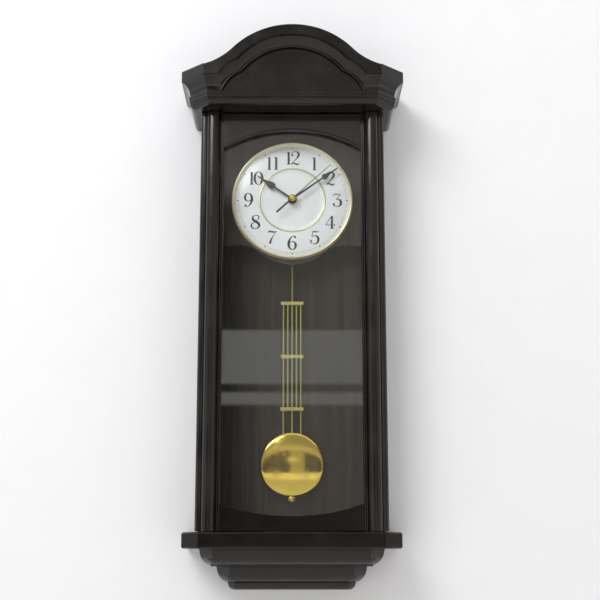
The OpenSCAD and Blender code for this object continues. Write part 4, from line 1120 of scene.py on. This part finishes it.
def plaster():
    """White emulsion on plaster, seen from the room only, so that the clock's back shows."""
    finish, tree, plain = new_finish("wall_white_emulsion")
    mottle = add(
        tree,
        "ShaderNodeTexNoise",
        {"Vector": plain, "Scale": 1 / (60 * MM), "Detail": 4.0, "Roughness": 0.6},
    )
    brushed = add(
        tree, "ShaderNodeTexNoise", {"Vector": plain, "Scale": 1 / (3 * MM), "Detail": 3.0}
    )
    coat = add(
        tree,
        "ShaderNodeBsdfPrincipled",
        {
            "Base Color": add(
                tree, "ShaderNodeMix", {0: mottle, 6: "#f2f3f8", 7: "#f8f8fd"}, **COLOURS
            ),
            "Roughness": 0.9,
            "Specular IOR Level": 0.1,
            "Normal": add(
                tree,
                "ShaderNodeBump",
                {"Height": brushed, "Distance": 0.05 * MM, "Strength": 0.3},
            ),
        },
    )
    clear = add(tree, "ShaderNodeBsdfTransparent")
    behind = add(tree, "ShaderNodeNewGeometry").outputs["Backfacing"]
    shadow = add(tree, "ShaderNodeLightPath").outputs["Is Shadow Ray"]
    open_to = add(tree, "ShaderNodeMath", {0: behind, 1: shadow}, operation="MAXIMUM")
    seen_wall = add(tree, "ShaderNodeMixShader", {0: open_to, 1: coat, 2: clear})
    add(tree, "ShaderNodeOutputMaterial", {"Surface": seen_wall})
    return finish


WALL, FLOOR = 0.0006, -1.2  # the wall just clears the clock's back; the floor is far below
sheet_of(
    "wall",
    [(-3, WALL, FLOOR), (3, WALL, FLOOR), (3, WALL, 2.5), (-3, WALL, 2.5)],
    plaster(),
)
sheet_of(
    "floor",
    [(-4, -5, FLOOR), (4, -5, FLOOR), (4, 3, FLOOR), (-4, 3, FLOOR)],
    moulded("floor_pale_paint", "#dedcd8", "#d6d4cf", 0.8, grain=3.0),
)


def lamp(name, where, aim, wide, high, power):
    """A soft oblong lamp that faces a place."""
    light = bpy.data.lights.new(name, "AREA")
    light.shape = "RECTANGLE"
    light.size, light.size_y = wide, high
    light.energy = power
    made = bpy.data.objects.new(name, light)
    made.location = where
    made.rotation_euler = (Vector(aim) - Vector(where)).to_track_quat("-Z", "Y").to_euler()
    scene.collection.objects.link(made)


lamp("window_left", (-1.2, -2.0, 1.25), aim=(0, 0, -0.15), wide=1.5, high=0.8, power=33)
lamp("behind", (0.5, 1.6, 0.4), aim=(0, 0, -0.2), wide=1.0, high=1.0, power=14)

world = bpy.data.worlds.new("room")
scene.world = world
world.use_nodes = True
sky = world.node_tree
sky.nodes.clear()
# Of a line of sight: its height, its slope across, its height with the sides sunk, and whether
# it goes to the half of the room in front of the clock.
SAG = 0.5  # how fast the ceiling's edge sinks to both sides
look = add(sky, "ShaderNodeTexCoord").outputs["Generated"]
split = add(sky, "ShaderNodeSeparateXYZ", {0: look}).outputs
height = split[2]
away = add(sky, "ShaderNodeMath", {0: split[1], 1: -1}, **TIMES)
across = add(sky, "ShaderNodeMath", {0: split[0], 1: away}, operation="DIVIDE")
sunk = add(sky, "ShaderNodeMath", {0: across, 1: across}, **TIMES)
sunk = add(sky, "ShaderNodeMath", {0: sunk, 1: SAG, 2: height}, operation="MULTIPLY_ADD")
ahead = add(sky, "ShaderNodeMapRange", {0: split[1], 1: -0.2, 2: 0.0, 3: 1.0, 4: 0.0}, **EASE)


def painted(
    glow, colour, up, low, high, left=-1.1, right=1.1, soft=0.012, side=0.25, share=ahead
):
    """The room's glow with one field of it, in front of the clock, in another colour: from low
    to high with soft edges, and from left to right with edges as soft as side."""
    for value, at, fade, first in (
        (up, low, soft, 0),
        (up, high, soft, 1),
        (across, left, side, 0),
        (across, right, side, 1),
    ):
        part = add(
            sky,
            "ShaderNodeMapRange",
            {0: value, 1: at - fade, 2: at + fade, 3: first, 4: 1 - first},
            **EASE,
        )
        share = add(sky, "ShaderNodeMath", {0: share, 1: part}, **TIMES)
    return add(sky, "ShaderNodeMix", {0: share, 6: glow, 7: colour}, **COLOURS)


# The rest of the room, which the dark wood and the bob reflect: side walls that darken upwards,
# a ceiling whose edge sinks to both sides, a pale cornice under it, an unlit wall in front, a
# pale floor, a doorway, and a window of two panes that shows in the door's glass.
ROUND = (-1e6, 1e6)  # left and right edge of a field that goes all round the room
glow = painted("#fbfbf9", "#aaa8a4", height, -0.05, 0.5, *ROUND, soft=0.03, share=1.0)
glow = painted(glow, "#716f6b", height, 0.31, 0.5, *ROUND, soft=0.05, share=1.0)
glow = painted(glow, "#94928d", sunk, 0.30, 0.75)
glow = painted(glow, "#c8c5be", sunk, 0.288, 0.375)
glow = painted(glow, "#4f4c47", sunk, -0.6, 0.288, right=0.1, side=0.2)
glow = painted(glow, "#45423e", sunk, -0.6, 0.288, left=0.1, side=0.05)
glow = painted(glow, "#fbfbf9", height, -1.2, -0.05)
glow = painted(glow, "#aba59a", height, -0.055, 0.29, left=-0.03, right=0.20, side=0.03)
for low, high in ((0.137, 0.181), (0.120, 0.130)):
    glow = painted(
        glow, "#f2f2ee", height, low, high, left=-0.078, right=0.088, soft=0.002, side=0.008
    )
seen = add(sky, "ShaderNodeLightPath").outputs["Is Camera Ray"]
room = add(sky, "ShaderNodeBackground", {"Color": glow, "Strength": 1.3})
backdrop = add(sky, "ShaderNodeBackground", {"Color": "#f7f7f5", "Strength": 1.0})
surface = add(sky, "ShaderNodeMixShader", {0: seen, 1: room, 2: backdrop})
add(sky, "ShaderNodeOutputWorld", {"Surface": surface})
